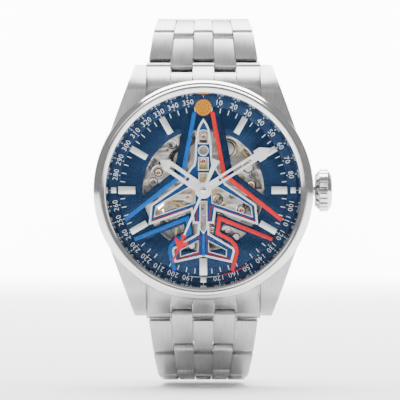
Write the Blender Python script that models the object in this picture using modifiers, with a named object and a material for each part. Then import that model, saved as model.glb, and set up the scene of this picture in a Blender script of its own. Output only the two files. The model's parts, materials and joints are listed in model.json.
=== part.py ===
"""Skeleton wristwatch: automatic movement, openworked dial, steel case and bracelet.

Everything is drawn in millimetres, dial up: X points to 3 o'clock, Y to 12 o'clock,
Z out through the crystal, and Z = 0 is the flat outer face of the case back.
One parent empty turns that drawing upright and scales it to metres, so that the
dial faces -Y, 12 o'clock points to +Z and the crown to +X.
"""
import math

import bmesh
import bpy
from mathutils import Matrix, Vector

# ---------------------------------------------------------------- driving dimensions (mm)
TAU = 2 * math.pi
GAP = 0.05

BEZEL_RADIUS = 21.0
OPENING_RADIUS = 18.6
CASE_RADIUS = 20.7
CASE_BORE = 19.1
CASE_BOTTOM = 1.5
CASE_TOP = 9.55
LUG_WIDTH = 22.0
LUG_TIP_Y = 24.05
LUG_TIP_X = 13.1
LUG_ROOT = (18.4, 9.3)
SPRING_BAR_Y = 21.8
SPRING_BAR_Z = 3.6
SPRING_BAR_RADIUS = 0.7

MOVEMENT_RADIUS = 13.1
BRIDGE_BOTTOM = 2.4
BRIDGE_THICKNESS = 0.6
PLATE_BOTTOM = 5.6
PLATE_THICKNESS = 1.2
DIAL_BOTTOM = 7.6
DIAL_THICKNESS = 0.4
DIAL_RADIUS = 18.9

STEM_Z = 4.3
CROWN_RADIUS = 4.1

LINK_PITCH = 6.7
LINK_HALF_THICKNESS = 1.3
LINK_END = 0.95
LINK_GAP = 0.12
COLUMN_GAP = 0.04
PIN_RADIUS = 0.4
FIRST_PIN = (23.7, 2.6)
WIDE_END = 21.4
NARROW_END = 16.0
TAPER_PER_LINK = 1.85
TOP_TILTS = (32, 66, 92, 108, 122, 137, 152)
BOTTOM_TILTS = (17, 49, 80, 100, 118, 135, 152)
OUTER_COLUMN = 0.21
CENTRE_COLUMN = 0.189

CLASP_RADIUS = 40.0

BALANCE = (-5.2, -6.6)
BALANCE_RADIUS = 4.4


def polar(radius, angle, centre=(0.0, 0.0)):
    return (centre[0] + radius * math.cos(angle), centre[1] + radius * math.sin(angle))


# Train: teeth and modules fix the distances, bearings fix the directions
BARREL_TEETH, CENTRE_PINION, BARREL_MODULE = 78, 12, 0.13
CENTRE_TEETH, THIRD_PINION, CENTRE_MODULE = 64, 8, 0.1
THIRD_TEETH, FOURTH_PINION = 60, 8
FOURTH_TEETH, ESCAPE_PINION, FOURTH_MODULE = 84, 7, 0.075
CANNON_LEAVES, MINUTE_TEETH, CANNON_MODULE = 12, 36, 0.12
MINUTE_LEAVES, HOUR_TEETH = 10, 40
RATCHET_TEETH, CROWN_WHEEL_TEETH = 54, 36
WINDING_TEETH = 16

CENTRE_TO_BARREL = BARREL_MODULE * (BARREL_TEETH + CENTRE_PINION) / 2
CENTRE_TO_THIRD = CENTRE_MODULE * (CENTRE_TEETH + THIRD_PINION) / 2
THIRD_MODULE = 2 * CENTRE_TO_THIRD / (THIRD_TEETH + FOURTH_PINION)
CENTRE_TO_ESCAPE = FOURTH_MODULE * (FOURTH_TEETH + ESCAPE_PINION) / 2
CENTRE_TO_MINUTE = CANNON_MODULE * (CANNON_LEAVES + MINUTE_TEETH) / 2
HOUR_MODULE = 2 * CENTRE_TO_MINUTE / (MINUTE_LEAVES + HOUR_TEETH)

BARREL_BEARING = math.radians(50)
THIRD_BEARING = math.radians(190)
ESCAPE_BEARING = math.radians(250)
MINUTE_BEARING = math.radians(45)
BARREL = polar(CENTRE_TO_BARREL, BARREL_BEARING)
THIRD = polar(CENTRE_TO_THIRD, THIRD_BEARING)
ESCAPE = polar(CENTRE_TO_ESCAPE, ESCAPE_BEARING)
MINUTE = polar(CENTRE_TO_MINUTE, MINUTE_BEARING)
CROWN_WHEEL = (6.8, 0.0)
CROWN_WHEEL_BEARING = math.atan2(CROWN_WHEEL[1] - BARREL[1], CROWN_WHEEL[0] - BARREL[0])
WINDING_MODULE = 2 * math.dist(BARREL, CROWN_WHEEL) / (RATCHET_TEETH + CROWN_WHEEL_TEETH)
ESCAPE_RADIUS = 2.0
PALLET_SHARE = 0.44
PALLET = tuple(e + PALLET_SHARE * (b - e) for e, b in zip(ESCAPE, BALANCE))

# Time shown: hour, minute and seconds hands, as angles clockwise from 12
HOUR_ANGLE = math.radians(304.8)
MINUTE_ANGLE = math.radians(57.8)
SECONDS_ANGLE = math.radians(203.2)

COLOURS = {
    "polished_steel": ((0.80, 0.80, 0.79), 0.12, 1.0),
    "brushed_steel": ((0.66, 0.66, 0.65), 0.38, 1.0),
    "nickel": ((0.62, 0.61, 0.58), 0.30, 1.0),
    "brass": ((0.78, 0.60, 0.30), 0.28, 1.0),
    "blued_spring": ((0.05, 0.08, 0.30), 0.25, 1.0),
    "dial_blue": ((0.02, 0.06, 0.17), 0.32, 0.4),
    "sapphire": ((0.85, 0.90, 0.93), 0.03, 0.0),
    "white_hand": ((0.85, 0.85, 0.84), 0.25, 0.6),
}


# ---------------------------------------------------------------- scene and materials
def clear_scene():
    for old in list(bpy.data.objects):
        bpy.data.objects.remove(old)


def make_materials():
    made = {}
    for name, (colour, roughness, metallic) in COLOURS.items():
        material = bpy.data.materials.new(name)
        material.use_nodes = True
        shader = material.node_tree.nodes["Principled BSDF"]
        shader.inputs["Base Color"].default_value = (*colour, 1.0)
        shader.inputs["Roughness"].default_value = roughness
        shader.inputs["Metallic"].default_value = metallic
        material.diffuse_color = (*colour, 1.0)
        made[name] = material
    return made


clear_scene()
MATERIALS = make_materials()
WATCH_PARTS = bpy.data.collections.new("skeleton_wristwatch")
bpy.context.scene.collection.children.link(WATCH_PARTS)
UPRIGHT = bpy.data.objects.new("upright", None)
UPRIGHT.rotation_euler = (math.pi / 2, 0, 0)
UPRIGHT.scale = (0.001, 0.001, 0.001)
WATCH_PARTS.objects.link(UPRIGHT)


# ---------------------------------------------------------------- mesh helpers
def evaluated_mesh(temporary):
    """The object's mesh with its modifiers applied and its seams welded."""
    scene_objects = bpy.context.scene.collection.objects
    for each in temporary:
        scene_objects.link(each)
    depsgraph = bpy.context.evaluated_depsgraph_get()
    depsgraph.update()
    mesh = bpy.data.meshes.new_from_object(temporary[0].evaluated_get(depsgraph), depsgraph=depsgraph)
    for each in temporary:
        bpy.data.objects.remove(each)
    work = bmesh.new()
    work.from_mesh(mesh)
    bmesh.ops.remove_doubles(work, verts=work.verts, dist=0.0005)
    bmesh.ops.recalc_face_normals(work, faces=work.faces)
    work.to_mesh(mesh)
    work.free()
    return mesh


def plate(outline, bottom, thickness, holes=()):
    """A flat outline with optional holes, as a filled and extruded 2D curve."""
    curve = bpy.data.curves.new("outline", "CURVE")
    curve.dimensions = "2D"
    curve.fill_mode = "BOTH"
    curve.extrude = thickness / 2
    for points in (outline, *holes):
        spline = curve.splines.new("POLY")
        spline.points.add(len(points) - 1)
        for point, (x, y) in zip(spline.points, points):
            point.co = (x, y, 0, 1)
        spline.use_cyclic_u = True
    mesh = evaluated_mesh([bpy.data.objects.new("outline", curve)])
    mesh.transform(Matrix.Translation((0, 0, bottom + thickness / 2)))
    return mesh


def turned(profile, steps=48, closed=True):
    """A profile of (radius, z) points turned about Z, from the top down its outer side."""
    mesh = bpy.data.meshes.new("profile")
    edges = [(i, i + 1) for i in range(len(profile) - 1)]
    if closed:
        edges.append((len(profile) - 1, 0))
    mesh.from_pydata([(radius, 0, z) for radius, z in profile], edges, [])
    obj = bpy.data.objects.new("profile", mesh)
    screw = obj.modifiers.new("turn", "SCREW")
    screw.steps = steps
    screw.render_steps = steps
    screw.use_merge_vertices = True
    screw.merge_threshold = 0.0001
    return evaluated_mesh([obj])


def rod(radius, bottom, top, steps=12):
    return turned([(0, top), (radius, top), (radius, bottom), (0, bottom)], steps, closed=False)


def tube(outer, inner, bottom, top, steps=24):
    return turned([(inner, top), (outer, top), (outer, bottom), (inner, bottom)], steps)


def box(low, high):
    mesh = bpy.data.meshes.new("box")
    work = bmesh.new()
    bmesh.ops.create_cube(work, size=1.0)
    work.to_mesh(mesh)
    work.free()
    size = [b - a for a, b in zip(low, high)]
    middle = [(a + b) / 2 for a, b in zip(low, high)]
    mesh.transform(Matrix.LocRotScale(Vector(middle), None, Vector(size)))
    return mesh


def is_closed(mesh):
    work = bmesh.new()
    work.from_mesh(mesh)
    closed = all(edge.is_manifold for edge in work.edges)
    work.free()
    return closed


def boolean_once(mesh, tool, operation, solver):
    target = bpy.data.objects.new("target", mesh)
    cutter = bpy.data.objects.new("cutter", tool)
    modifier = target.modifiers.new("join", "BOOLEAN")
    modifier.operation = operation
    modifier.solver = solver
    modifier.object = cutter
    result = evaluated_mesh([target, cutter])
    work = bmesh.new()
    work.from_mesh(result)
    bmesh.ops.dissolve_limit(work, angle_limit=math.radians(0.3), verts=work.verts, edges=work.edges)
    bmesh.ops.triangulate(work, faces=work.faces)
    work.to_mesh(result)
    work.free()
    return result


def boolean(mesh, tools, operation):
    """Joins or cuts a mesh with each tool in turn.

    The manifold solver takes over where the exact one leaves an open edge.
    """
    for tool in tools:
        result = boolean_once(mesh, tool, operation, "EXACT")
        if not is_closed(result):
            result = boolean_once(mesh, tool, operation, "MANIFOLD")
        mesh = result
    return mesh


def joined(mesh, *tools):
    return boolean(mesh, tools, "UNION")


def cut(mesh, *tools):
    return boolean(mesh, tools, "DIFFERENCE")


def common_part(mesh, tool):
    return boolean(mesh, [tool], "INTERSECT")


def merged(*meshes):
    """Several meshes that don't touch, as one cutter."""
    result = bpy.data.meshes.new("merged")
    work = bmesh.new()
    for mesh in meshes:
        work.from_mesh(mesh)
    work.to_mesh(result)
    work.free()
    return result


def along_x(mesh, x=0.0, y=0.0, z=0.0):
    """Turns a mesh drawn about Z so that its axis is X, its +Z end towards +X."""
    mesh.transform(Matrix.Translation((x, y, z)) @ Matrix.Rotation(math.pi / 2, 4, "Y"))
    return mesh


def extruded_along_x(profile, low, high):
    """A (y, z) profile given thickness along X."""
    mesh = plate(profile, low, high - low)
    turn = Matrix(((0, 0, 1, 0), (1, 0, 0, 0), (0, 1, 0, 0), (0, 0, 0, 1)))
    mesh.transform(turn)
    return mesh


def add(name, mesh, material, location=(0.0, 0.0, 0.0), rotation=(0.0, 0.0, 0.0)):
    mesh.name = name
    obj = bpy.data.objects.new(name, mesh)
    obj.parent = UPRIGHT
    obj.location = location
    obj.rotation_euler = rotation
    mesh.materials.clear()
    mesh.materials.append(MATERIALS[material])
    mesh.shade_smooth()
    mesh.set_sharp_from_angle(angle=math.radians(35))
    WATCH_PARTS.objects.link(obj)
    return obj


# ---------------------------------------------------------------- outline helpers
def circle(radius, count=24, centre=(0.0, 0.0)):
    return [polar(radius, TAU * i / count, centre) for i in range(count)]


def arc(radius, start, end, count, centre=(0.0, 0.0)):
    step = (end - start) / (count - 1)
    return [polar(radius, start + step * i, centre) for i in range(count)]


def gear(teeth, module, phase, addendum=0.8, dedendum=1.2):
    """A tooth tip and a tooth root in turn, tips on `phase` plus whole tooth pitches."""
    pitch_radius = teeth * module / 2
    points = []
    for tooth in range(teeth):
        angle = phase + TAU * tooth / teeth
        points.append(polar(pitch_radius + addendum * module, angle))
        points.append(polar(pitch_radius - dedendum * module, angle + math.pi / teeth))
    return points


def meshing_phase(teeth, phase, bearing, other_teeth):
    """The phase that puts the other gear's gap against this gear's tooth."""
    share = ((bearing - phase) / (TAU / teeth)) % 1.0
    return bearing + math.pi + (share + 0.5) * TAU / other_teeth


def spoke_windows(spokes, inner, outer, half_width, count=5):
    """Windows between a hub and a rim that leave straight-sided spokes."""
    windows = []
    for spoke in range(spokes):
        start = TAU * spoke / spokes
        end = start + TAU / spokes
        outer_margin = math.asin(half_width / outer)
        inner_margin = math.asin(half_width / inner)
        rim = arc(outer, start + outer_margin, end - outer_margin, count)
        hub = arc(inner, end - inner_margin, start + inner_margin, 3)
        windows.append(rim + hub)
    return windows


def mirrored_outline(right_half):
    """A right half from the top to the bottom, closed with its mirror image."""
    left = [(-x, y) for x, y in reversed(right_half) if abs(x) > 1e-6]
    return list(right_half) + left


def mirrored(points):
    return [(-x, y) for x, y in reversed(points)]


# ---------------------------------------------------------------- case
def lug_plan():
    """The case seen from the dial: a round body with four lugs."""
    root_angle = math.atan2(LUG_ROOT[1], LUG_ROOT[0])
    inner_x = LUG_WIDTH / 2
    inner_angle = math.acos(inner_x / CASE_RADIUS)
    quarter = arc(CASE_RADIUS, 0, root_angle, 7)
    quarter += [(LUG_TIP_X, LUG_TIP_Y), (inner_x, LUG_TIP_Y)]
    quarter += arc(CASE_RADIUS, inner_angle, math.pi / 2, 9)
    upper = quarter + [(-x, y) for x, y in reversed(quarter[1:-1])]
    lower = [(-x, -y) for x, y in upper]
    return upper + lower


def make_case_middle():
    side = [
        (18.5, CASE_TOP), (20.5, 8.6), (22.6, 6.7), (LUG_TIP_Y, 4.3), (LUG_TIP_Y, 2.4),
        (23.2, 1.2), (21.5, 1.0), (19.8, CASE_BOTTOM),
    ]
    profile = side + [(-y, z) for y, z in reversed(side)]
    blank = plate(lug_plan(), 0.5, 10.0)
    body = common_part(blank, extruded_along_x(profile, -22, 22))
    stem_hole = along_x(rod(1.05, 17, 23, 16), z=STEM_Z)
    bar_holes = [
        along_x(rod(0.5, -12.5, 12.5, 10), y=side_y * SPRING_BAR_Y, z=SPRING_BAR_Z) for side_y in (1, -1)
    ]
    body = cut(body, rod(CASE_BORE, 0, 12, 60), stem_hole, *bar_holes)
    add("case_middle", body, "brushed_steel")


def make_bezel():
    profile = [
        (18.8, 11.5), (19.4, 11.8), (20.1, 11.6), (20.4, 11.2),
        (BEZEL_RADIUS, 10.5), (BEZEL_RADIUS, 9.6), (18.8, 9.6),
    ]
    add("bezel", turned(profile, 54), "polished_steel")


def make_crystal():
    profile = [(0, 12.15), (9, 12.1), (17.6, 11.9), (18.7, 11.3), (18.7, 9.95), (0, 9.95)]
    add("crystal", turned(profile, 48, closed=False), "sapphire")


def make_inner_flange():
    profile = [(18.6, 9.55), (19.05, 9.5), (19.05, 8.08), (18.1, 8.08)]
    add("inner_flange", turned(profile, 48), "polished_steel")


def make_case_back():
    profile = [(13.45, 1.45), (19.6, 1.45), (19.6, 1.0), (18.8, 0.0), (13.45, 0.0)]
    add("case_back", turned(profile, 48), "brushed_steel")
    window = [(0, 1.0), (13.38, 1.0), (13.38, 0), (0, 0)]
    add("case_back_window", turned(window, 48, closed=False), "sapphire")


def make_crown_tube():
    add("crown_tube", along_x(tube(1.0, 0.62, 19.15, 22.5, 16), z=STEM_Z), "polished_steel")


def make_spring_bar(name, side):
    half = LUG_WIDTH / 2
    profile = [
        (0, half + 1.2), (0.44, half + 1.2), (0.44, half - 0.5), (SPRING_BAR_RADIUS, half - 0.5),
        (SPRING_BAR_RADIUS, 0.5 - half), (0.44, 0.5 - half), (0.44, -half - 1.2), (0, -half - 1.2),
    ]
    bar = along_x(turned(profile, 12, closed=False))
    add(name, bar, "polished_steel", (0, side * SPRING_BAR_Y, SPRING_BAR_Z))


# ---------------------------------------------------------------- crown and stem
def make_stem_and_crown():
    stem = [(0, 23.3), (0.5, 23.3), (0.5, 7.6), (0, 7.6)]
    add("winding_stem", along_x(turned(stem, 12, closed=False)), "nickel", (0, 0, STEM_Z))
    body = [
        (0, 24.65), (2.9, 24.65), (4.0, 23.85), (3.85, 23.7), (3.85, 22.2), (3.4, 22.1),
        (2.9, 21.2), (1.15, 21.2), (1.15, 22.75), (0.56, 22.75), (0.56, 23.4), (0, 23.4),
    ]
    crown = turned(body, 24, closed=False)
    flutes = 20
    outline = []
    for flute in range(flutes):
        for share, radius in ((-0.34, CROWN_RADIUS), (0.34, CROWN_RADIUS), (0.40, 3.8), (0.60, 3.8)):
            outline.append(polar(radius, TAU * (flute + share) / flutes))
    crown = joined(crown, plate(outline, 22.3, 1.45, [circle(2.0, 16)]))
    add("crown", along_x(crown), "polished_steel", (0, 0, STEM_Z))


def make_winding_pinion():
    pitch_radius = 1.25
    blank = gear(WINDING_TEETH, 0.13, 0.0, 0.8, 1.0)
    scale = pitch_radius / (WINDING_TEETH * 0.13 / 2 + 0.8 * 0.13)
    outline = [(x * scale, y * scale) for x, y in blank]
    pinion = plate(outline, 8.35, 1.2, [circle(0.56, 12)])
    add("winding_pinion", along_x(pinion), "nickel", (0, 0, STEM_Z))


# ---------------------------------------------------------------- dial
def strip(path, width):
    """The outline of a strip of constant width along an open path."""
    left, right = [], []
    for index, point in enumerate(path):
        here = Vector(point)
        before = Vector(path[max(index - 1, 0)])
        after = Vector(path[min(index + 1, len(path) - 1)])
        incoming = (here - before).normalized() if index > 0 else (after - here).normalized()
        outgoing = (after - here).normalized() if index < len(path) - 1 else incoming
        tangent = (incoming + outgoing).normalized()
        normal = Vector((-tangent.y, tangent.x))
        reach = width / 2 / max(normal.dot(Vector((-incoming.y, incoming.x))), 0.5)
        left.append(tuple(here + normal * reach))
        right.append(tuple(here - normal * reach))
    return left + right[::-1]


PLANE_RIGHT = [
    (0, 13.8), (1.1, 11.9), (1.57, 9.0), (1.72, 6.0), (1.9, 4.9), (4.3, 1.3), (10.1, -2.75), (10.5, -6.7),
    (2.4, -3.85), (2.0, -6.4), (1.1, -6.4), (1.2, -8.25), (5.85, -11.0), (6.05, -11.7),
    (5.45, -13.9), (0, -12.7),
]
WING_WINDOW = [(1.6, 0.3), (2.8, 0.5), (6.95, -1.85), (9.0, -3.15), (9.3, -5.0), (1.7, -2.4)]
TAIL_WINDOW = [(0.95, -9.7), (4.35, -11.5), (4.3, -12.6), (1.15, -11.7)]
UPPER_TRAIL = [(1.7, 14.9), (3.97, 2.96), (15.0, -5.7)]
LOWER_TRAIL = [
    (13.2, -9.4), (3.05, -5.35), (2.7, -8.2), (5.2, -9.5), (6.2, -10.7), (6.4, -11.7), (5.5, -15.4),
]
DIAL_RING = 11.6


def make_dial():
    """A ring that carries the markers, with the openworked plane and trails across its opening."""
    base = [DIAL_BOTTOM, DIAL_THICKNESS]
    ring = plate(circle(DIAL_RADIUS, 60), *base, [circle(DIAL_RING, 48)])
    windows = [WING_WINDOW, mirrored(WING_WINDOW), TAIL_WINDOW, mirrored(TAIL_WINDOW)]
    for y, half_x, half_y in ((10.1, 0.87, 1.15), (5.06, 0.87, 1.15), (2.3, 0.8, 0.9)):
        windows.append([
            (half_x, y + half_y), (-half_x, y + half_y), (-half_x, y - half_y), (half_x, y - half_y),
        ])
    windows.append(circle(0.9, 12, (0, 7.56)))
    windows.append([(0.57, -2.2), (-0.57, -2.2), (-0.57, -7.3), (0, -8.1), (0.57, -7.3)])
    windows.append(circle(1.15, 20))
    plane = plate(mirrored_outline(PLANE_RIGHT), *base, windows)
    pieces = [plane]
    for path, width in ((UPPER_TRAIL, 2.1), (LOWER_TRAIL, 0.9)):
        pieces.append(plate(strip(path, width), *base))
        pieces.append(plate(strip(mirrored(path), width), *base))
    dial = joined(ring, *pieces)
    for hour in (1, 2, 3, 4, 6, 8, 9, 10, 11):
        angle = math.pi / 2 - TAU * hour / 12
        width = 1.45 if hour % 3 == 0 else 1.2
        low = 13.0 if hour % 3 == 0 else 12.5
        top = DIAL_BOTTOM + DIAL_THICKNESS + 0.35
        marker = box((low, -width / 2, DIAL_BOTTOM + 0.2), (16.0, width / 2, top))
        marker.transform(Matrix.Rotation(angle, 4, "Z"))
        dial = joined(dial, marker)
    disc = rod(1.6, DIAL_BOTTOM + 0.2, DIAL_BOTTOM + DIAL_THICKNESS + 0.3, 20)
    disc.transform(Matrix.Translation((0, 15.8, 0)))
    add("dial", joined(dial, disc), "dial_blue")


# ---------------------------------------------------------------- movement: plates and bridges
def make_movement_ring():
    ring = tube(19.0, 13.2, BRIDGE_BOTTOM, 7.5, 48)
    stem_hole = along_x(rod(0.8, 12, 20, 12), z=STEM_Z)
    add("movement_ring", cut(ring, stem_hole), "nickel")


def make_main_plate():
    """The openworked plate that the train runs on, with a hole under every pivot."""
    windows = [
        circle(0.6, 16), circle(0.35, 10, MINUTE),
        arc(11.4, 1.75, 2.55, 8) + arc(8.2, 2.55, 1.75, 6),
        arc(11.4, 2.75, 3.35, 7) + arc(7.6, 3.35, 2.75, 5),
        arc(11.4, 5.25, 5.95, 7) + arc(7.4, 5.95, 5.25, 5),
        arc(11.4, 6.1, 6.75, 7) + arc(8.8, 6.75, 6.1, 5),
        circle(3.1, 20, BALANCE),
        circle(1.4, 14, (7.2, 6.4)), circle(1.2, 14, (-3.6, 5.2)), circle(1.2, 14, (2.6, -5.2)),
    ]
    pivots = [circle(0.35, 10, at) for at in (BARREL, THIRD, ESCAPE)]
    outline = circle(MOVEMENT_RADIUS, 44)
    add("main_plate", plate(outline, PLATE_BOTTOM, PLATE_THICKNESS, windows + pivots), "nickel")


def make_bridges():
    """The two bridges on the case-back side and the cock over the balance."""
    start, end = math.radians(-38), math.radians(118)
    barrel_outline = arc(12.9, start, end, 22) + [(-4.2, 3.9), (2.2, 1.6), (3.9, -0.8), (5.6, -3.6)]
    holes = [circle(0.65, 14, BARREL), circle(2.35, 24, CROWN_WHEEL)]
    add("barrel_bridge", plate(barrel_outline, BRIDGE_BOTTOM, BRIDGE_THICKNESS, holes), "nickel")
    start, end = math.radians(121), math.radians(196)
    train_outline = arc(12.9, start, end, 12) + [
        (-7.4, -2.2), (-3.6, -2.3), (-1.9, -4.2), (0.4, -4.6), (2.6, -2.6), (3.1, -0.9),
        (1.6, 1.3), (-4.4, 3.5),
    ]
    holes = [circle(0.3, 8), circle(0.3, 8, THIRD), circle(0.3, 8, ESCAPE)]
    add("train_bridge", plate(train_outline, BRIDGE_BOTTOM, BRIDGE_THICKNESS, holes), "nickel")
    start, end = math.radians(214), math.radians(252)
    cock_outline = arc(12.9, start, end, 8) + arc(1.3, math.radians(-40), math.radians(150), 8, BALANCE)
    cock = plate(cock_outline, BRIDGE_BOTTOM, BRIDGE_THICKNESS, [circle(0.3, 8, BALANCE)])
    add("balance_cock", cock, "nickel")


# ---------------------------------------------------------------- movement: the train
def wheel(teeth, module, phase, bottom, thickness, spokes, hub, rim_share=0.84):
    """A spoked wheel drawn about its own axis."""
    rim = teeth * module / 2 * rim_share
    return plate(gear(teeth, module, phase), bottom, thickness, spoke_windows(spokes, hub, rim, 0.17))


CENTRE_PHASE = 0.0
THIRD_PHASE = meshing_phase(CENTRE_TEETH, CENTRE_PHASE, THIRD_BEARING, THIRD_PINION)
THIRD_WHEEL_PHASE = 0.0
FOURTH_PHASE = meshing_phase(THIRD_TEETH, THIRD_WHEEL_PHASE, THIRD_BEARING + math.pi, FOURTH_PINION)
FOURTH_WHEEL_PHASE = 0.0
ESCAPE_PHASE = meshing_phase(FOURTH_TEETH, FOURTH_WHEEL_PHASE, ESCAPE_BEARING, ESCAPE_PINION)
CENTRE_PINION_PHASE = meshing_phase(BARREL_TEETH, 0.0, BARREL_BEARING + math.pi, CENTRE_PINION)
CANNON_PHASE = 0.0
MINUTE_PHASE = meshing_phase(CANNON_LEAVES, CANNON_PHASE, MINUTE_BEARING, MINUTE_TEETH)
HOUR_PHASE = meshing_phase(MINUTE_LEAVES, 0.0, MINUTE_BEARING + math.pi, HOUR_TEETH)
CROWN_WHEEL_PHASE = meshing_phase(RATCHET_TEETH, 0.0, CROWN_WHEEL_BEARING, CROWN_WHEEL_TEETH)


def make_barrel():
    drum = turned(
        [(0.66, 5.45), (4.75, 5.45), (4.75, 4.45), (4.45, 4.45), (4.45, 5.25), (0.66, 5.25)], 30,
    )
    teeth = plate(gear(BARREL_TEETH, BARREL_MODULE, 0.0), 5.0, 0.25, [circle(4.6, 30)])
    add("mainspring_barrel", joined(drum, teeth), "brass", (*BARREL, 0))
    turns, per_turn, start, end = 4, 16, 1.3, 4.2
    count = turns * per_turn
    path = [polar(start + (end - start) * i / count, TAU * i / per_turn) for i in range(count + 1)]
    add("mainspring", plate(strip(path, 0.14), 4.5, 0.65), "nickel", (*BARREL, 0))
    arbor = turned([
        (0, 5.9), (0.3, 5.9), (0.3, 5.5), (0.6, 5.5), (0.6, 5.2), (1.15, 5.2), (1.15, 4.5), (0.6, 4.5),
        (0.6, 1.9), (0, 1.9),
    ], 16, closed=False)
    add("barrel_arbor", arbor, "nickel", (*BARREL, 0))


def make_train():
    centre = joined(
        wheel(CENTRE_TEETH, CENTRE_MODULE, CENTRE_PHASE, 4.1, 0.15, 5, 0.75),
        tube(0.42, 0.22, 4.05, 8.6, 16),
    )
    centre = cut(centre, rod(0.22, 3, 9, 16))
    leaves = plate(gear(CENTRE_PINION, BARREL_MODULE, CENTRE_PINION_PHASE), 4.85, 0.5, [circle(0.3, 16)])
    add("centre_wheel", joined(centre, leaves), "brass")

    third = joined(
        wheel(THIRD_TEETH, THIRD_MODULE, THIRD_WHEEL_PHASE, 3.7, 0.15, 5, 0.7),
        rod(0.2, BRIDGE_BOTTOM + 0.1, 6.0, 10),
        plate(gear(THIRD_PINION, CENTRE_MODULE, THIRD_PHASE), 3.8, 0.5),
    )
    add("third_wheel", third, "brass", (*THIRD, 0))

    fourth = joined(
        wheel(FOURTH_TEETH, FOURTH_MODULE, FOURTH_WHEEL_PHASE, 3.4, 0.15, 5, 0.7),
        rod(0.17, BRIDGE_BOTTOM + 0.1, 9.55, 10),
        plate(gear(FOURTH_PINION, THIRD_MODULE, FOURTH_PHASE), 3.5, 0.45),
    )
    add("fourth_wheel", fourth, "brass")

    escape_teeth = 20
    outline = []
    for tooth in range(escape_teeth):
        angle = TAU * tooth / escape_teeth
        outline.append(polar(ESCAPE_RADIUS, angle))
        outline.append(polar(ESCAPE_RADIUS - 0.05, angle + 0.05))
        outline.append(polar(ESCAPE_RADIUS - 0.42, angle + 0.12))
    escape = joined(
        plate(outline, 4.6, 0.15, spoke_windows(4, 0.5, 1.3, 0.12) + [circle(0.08, 9)]),
        rod(0.14, BRIDGE_BOTTOM + 0.1, 6.0, 12),
        plate(gear(ESCAPE_PINION, FOURTH_MODULE, ESCAPE_PHASE), 3.38, 0.25),
    )
    add("escape_wheel", escape, "nickel", (*ESCAPE, 0))


def make_escapement():
    """The pallet fork between the escape wheel and the balance, and the balance with its spring."""
    to_balance = math.atan2(BALANCE[1] - PALLET[1], BALANCE[0] - PALLET[0])
    fork_length = math.dist(PALLET, BALANCE) - 0.8
    to_escape = math.dist(PALLET, ESCAPE)
    fork = [
        (0.35, 0.2), (fork_length, 0.1), (fork_length + 0.35, 0.32), (fork_length + 0.4, 0.16),
        (fork_length + 0.08, 0), (fork_length + 0.4, -0.16), (fork_length + 0.35, -0.32),
        (fork_length, -0.1),
        (0.35, -0.2), (0.1, -0.45), (-0.05, -1.5), (-to_escape + ESCAPE_RADIUS - 0.62, -1.72),
        (-to_escape + ESCAPE_RADIUS - 0.62, -1.5), (-0.3, -1.3), (-0.35, 0), (-0.3, 1.3),
        (-to_escape + ESCAPE_RADIUS - 0.62, 1.5), (-to_escape + ESCAPE_RADIUS - 0.62, 1.72), (-0.05, 1.5),
        (0.1, 0.45),
    ]
    lever = joined(plate(fork, 4.58, 0.18), rod(0.15, 4.45, 6.0, 8))
    add("pallet_fork", lever, "nickel", (*PALLET, 0), (0, 0, to_balance))

    windows = spoke_windows(3, 0.6, BALANCE_RADIUS - 0.45, 0.25, 12)
    rim = plate(circle(BALANCE_RADIUS, 40), 3.95, 0.4, windows)
    staff = turned([
        (0, 6.0), (0.15, 6.0), (0.15, 4.85), (0.42, 4.85), (0.42, 4.5), (0.3, 4.5), (0.3, 3.7),
        (0.15, 3.7), (0.15, BRIDGE_BOTTOM + 0.1), (0, BRIDGE_BOTTOM + 0.1),
    ], 12, closed=False)
    add("balance_wheel", joined(rim, staff), "brass", (*BALANCE, 0))

    turns, per_turn, start, end = 5, 14, 0.4, 2.5
    count = turns * per_turn
    path = [polar(start + (end - start) * i / count, TAU * i / per_turn) for i in range(count + 1)]
    add("hairspring", plate(strip(path, 0.06), 3.42, 0.14), "blued_spring", (*BALANCE, 0))


def make_motion_work():
    """Cannon pinion, minute wheel and hour wheel, between the main plate and the dial."""
    cannon = joined(
        tube(0.6, 0.46, 6.9, 9.15, 20),
        plate(gear(CANNON_LEAVES, CANNON_MODULE, CANNON_PHASE), 6.92, 0.25, [circle(0.5, 20)]),
    )
    add("cannon_pinion", cannon, "nickel")
    minute = joined(
        wheel(MINUTE_TEETH, CANNON_MODULE, MINUTE_PHASE, 6.95, 0.14, 4, 0.8),
        plate(gear(MINUTE_LEAVES, HOUR_MODULE, 0.0), 7.0, 0.4),
        rod(0.3, 6.0, 7.45, 12),
    )
    add("minute_wheel", minute, "brass", (*MINUTE, 0))
    hour = joined(
        plate(gear(HOUR_TEETH, HOUR_MODULE, HOUR_PHASE), 7.2, 0.15, [circle(0.7, 24)]),
        tube(0.95, 0.65, 7.2, 8.75, 24),
    )
    add("hour_wheel", hour, "brass")


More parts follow.
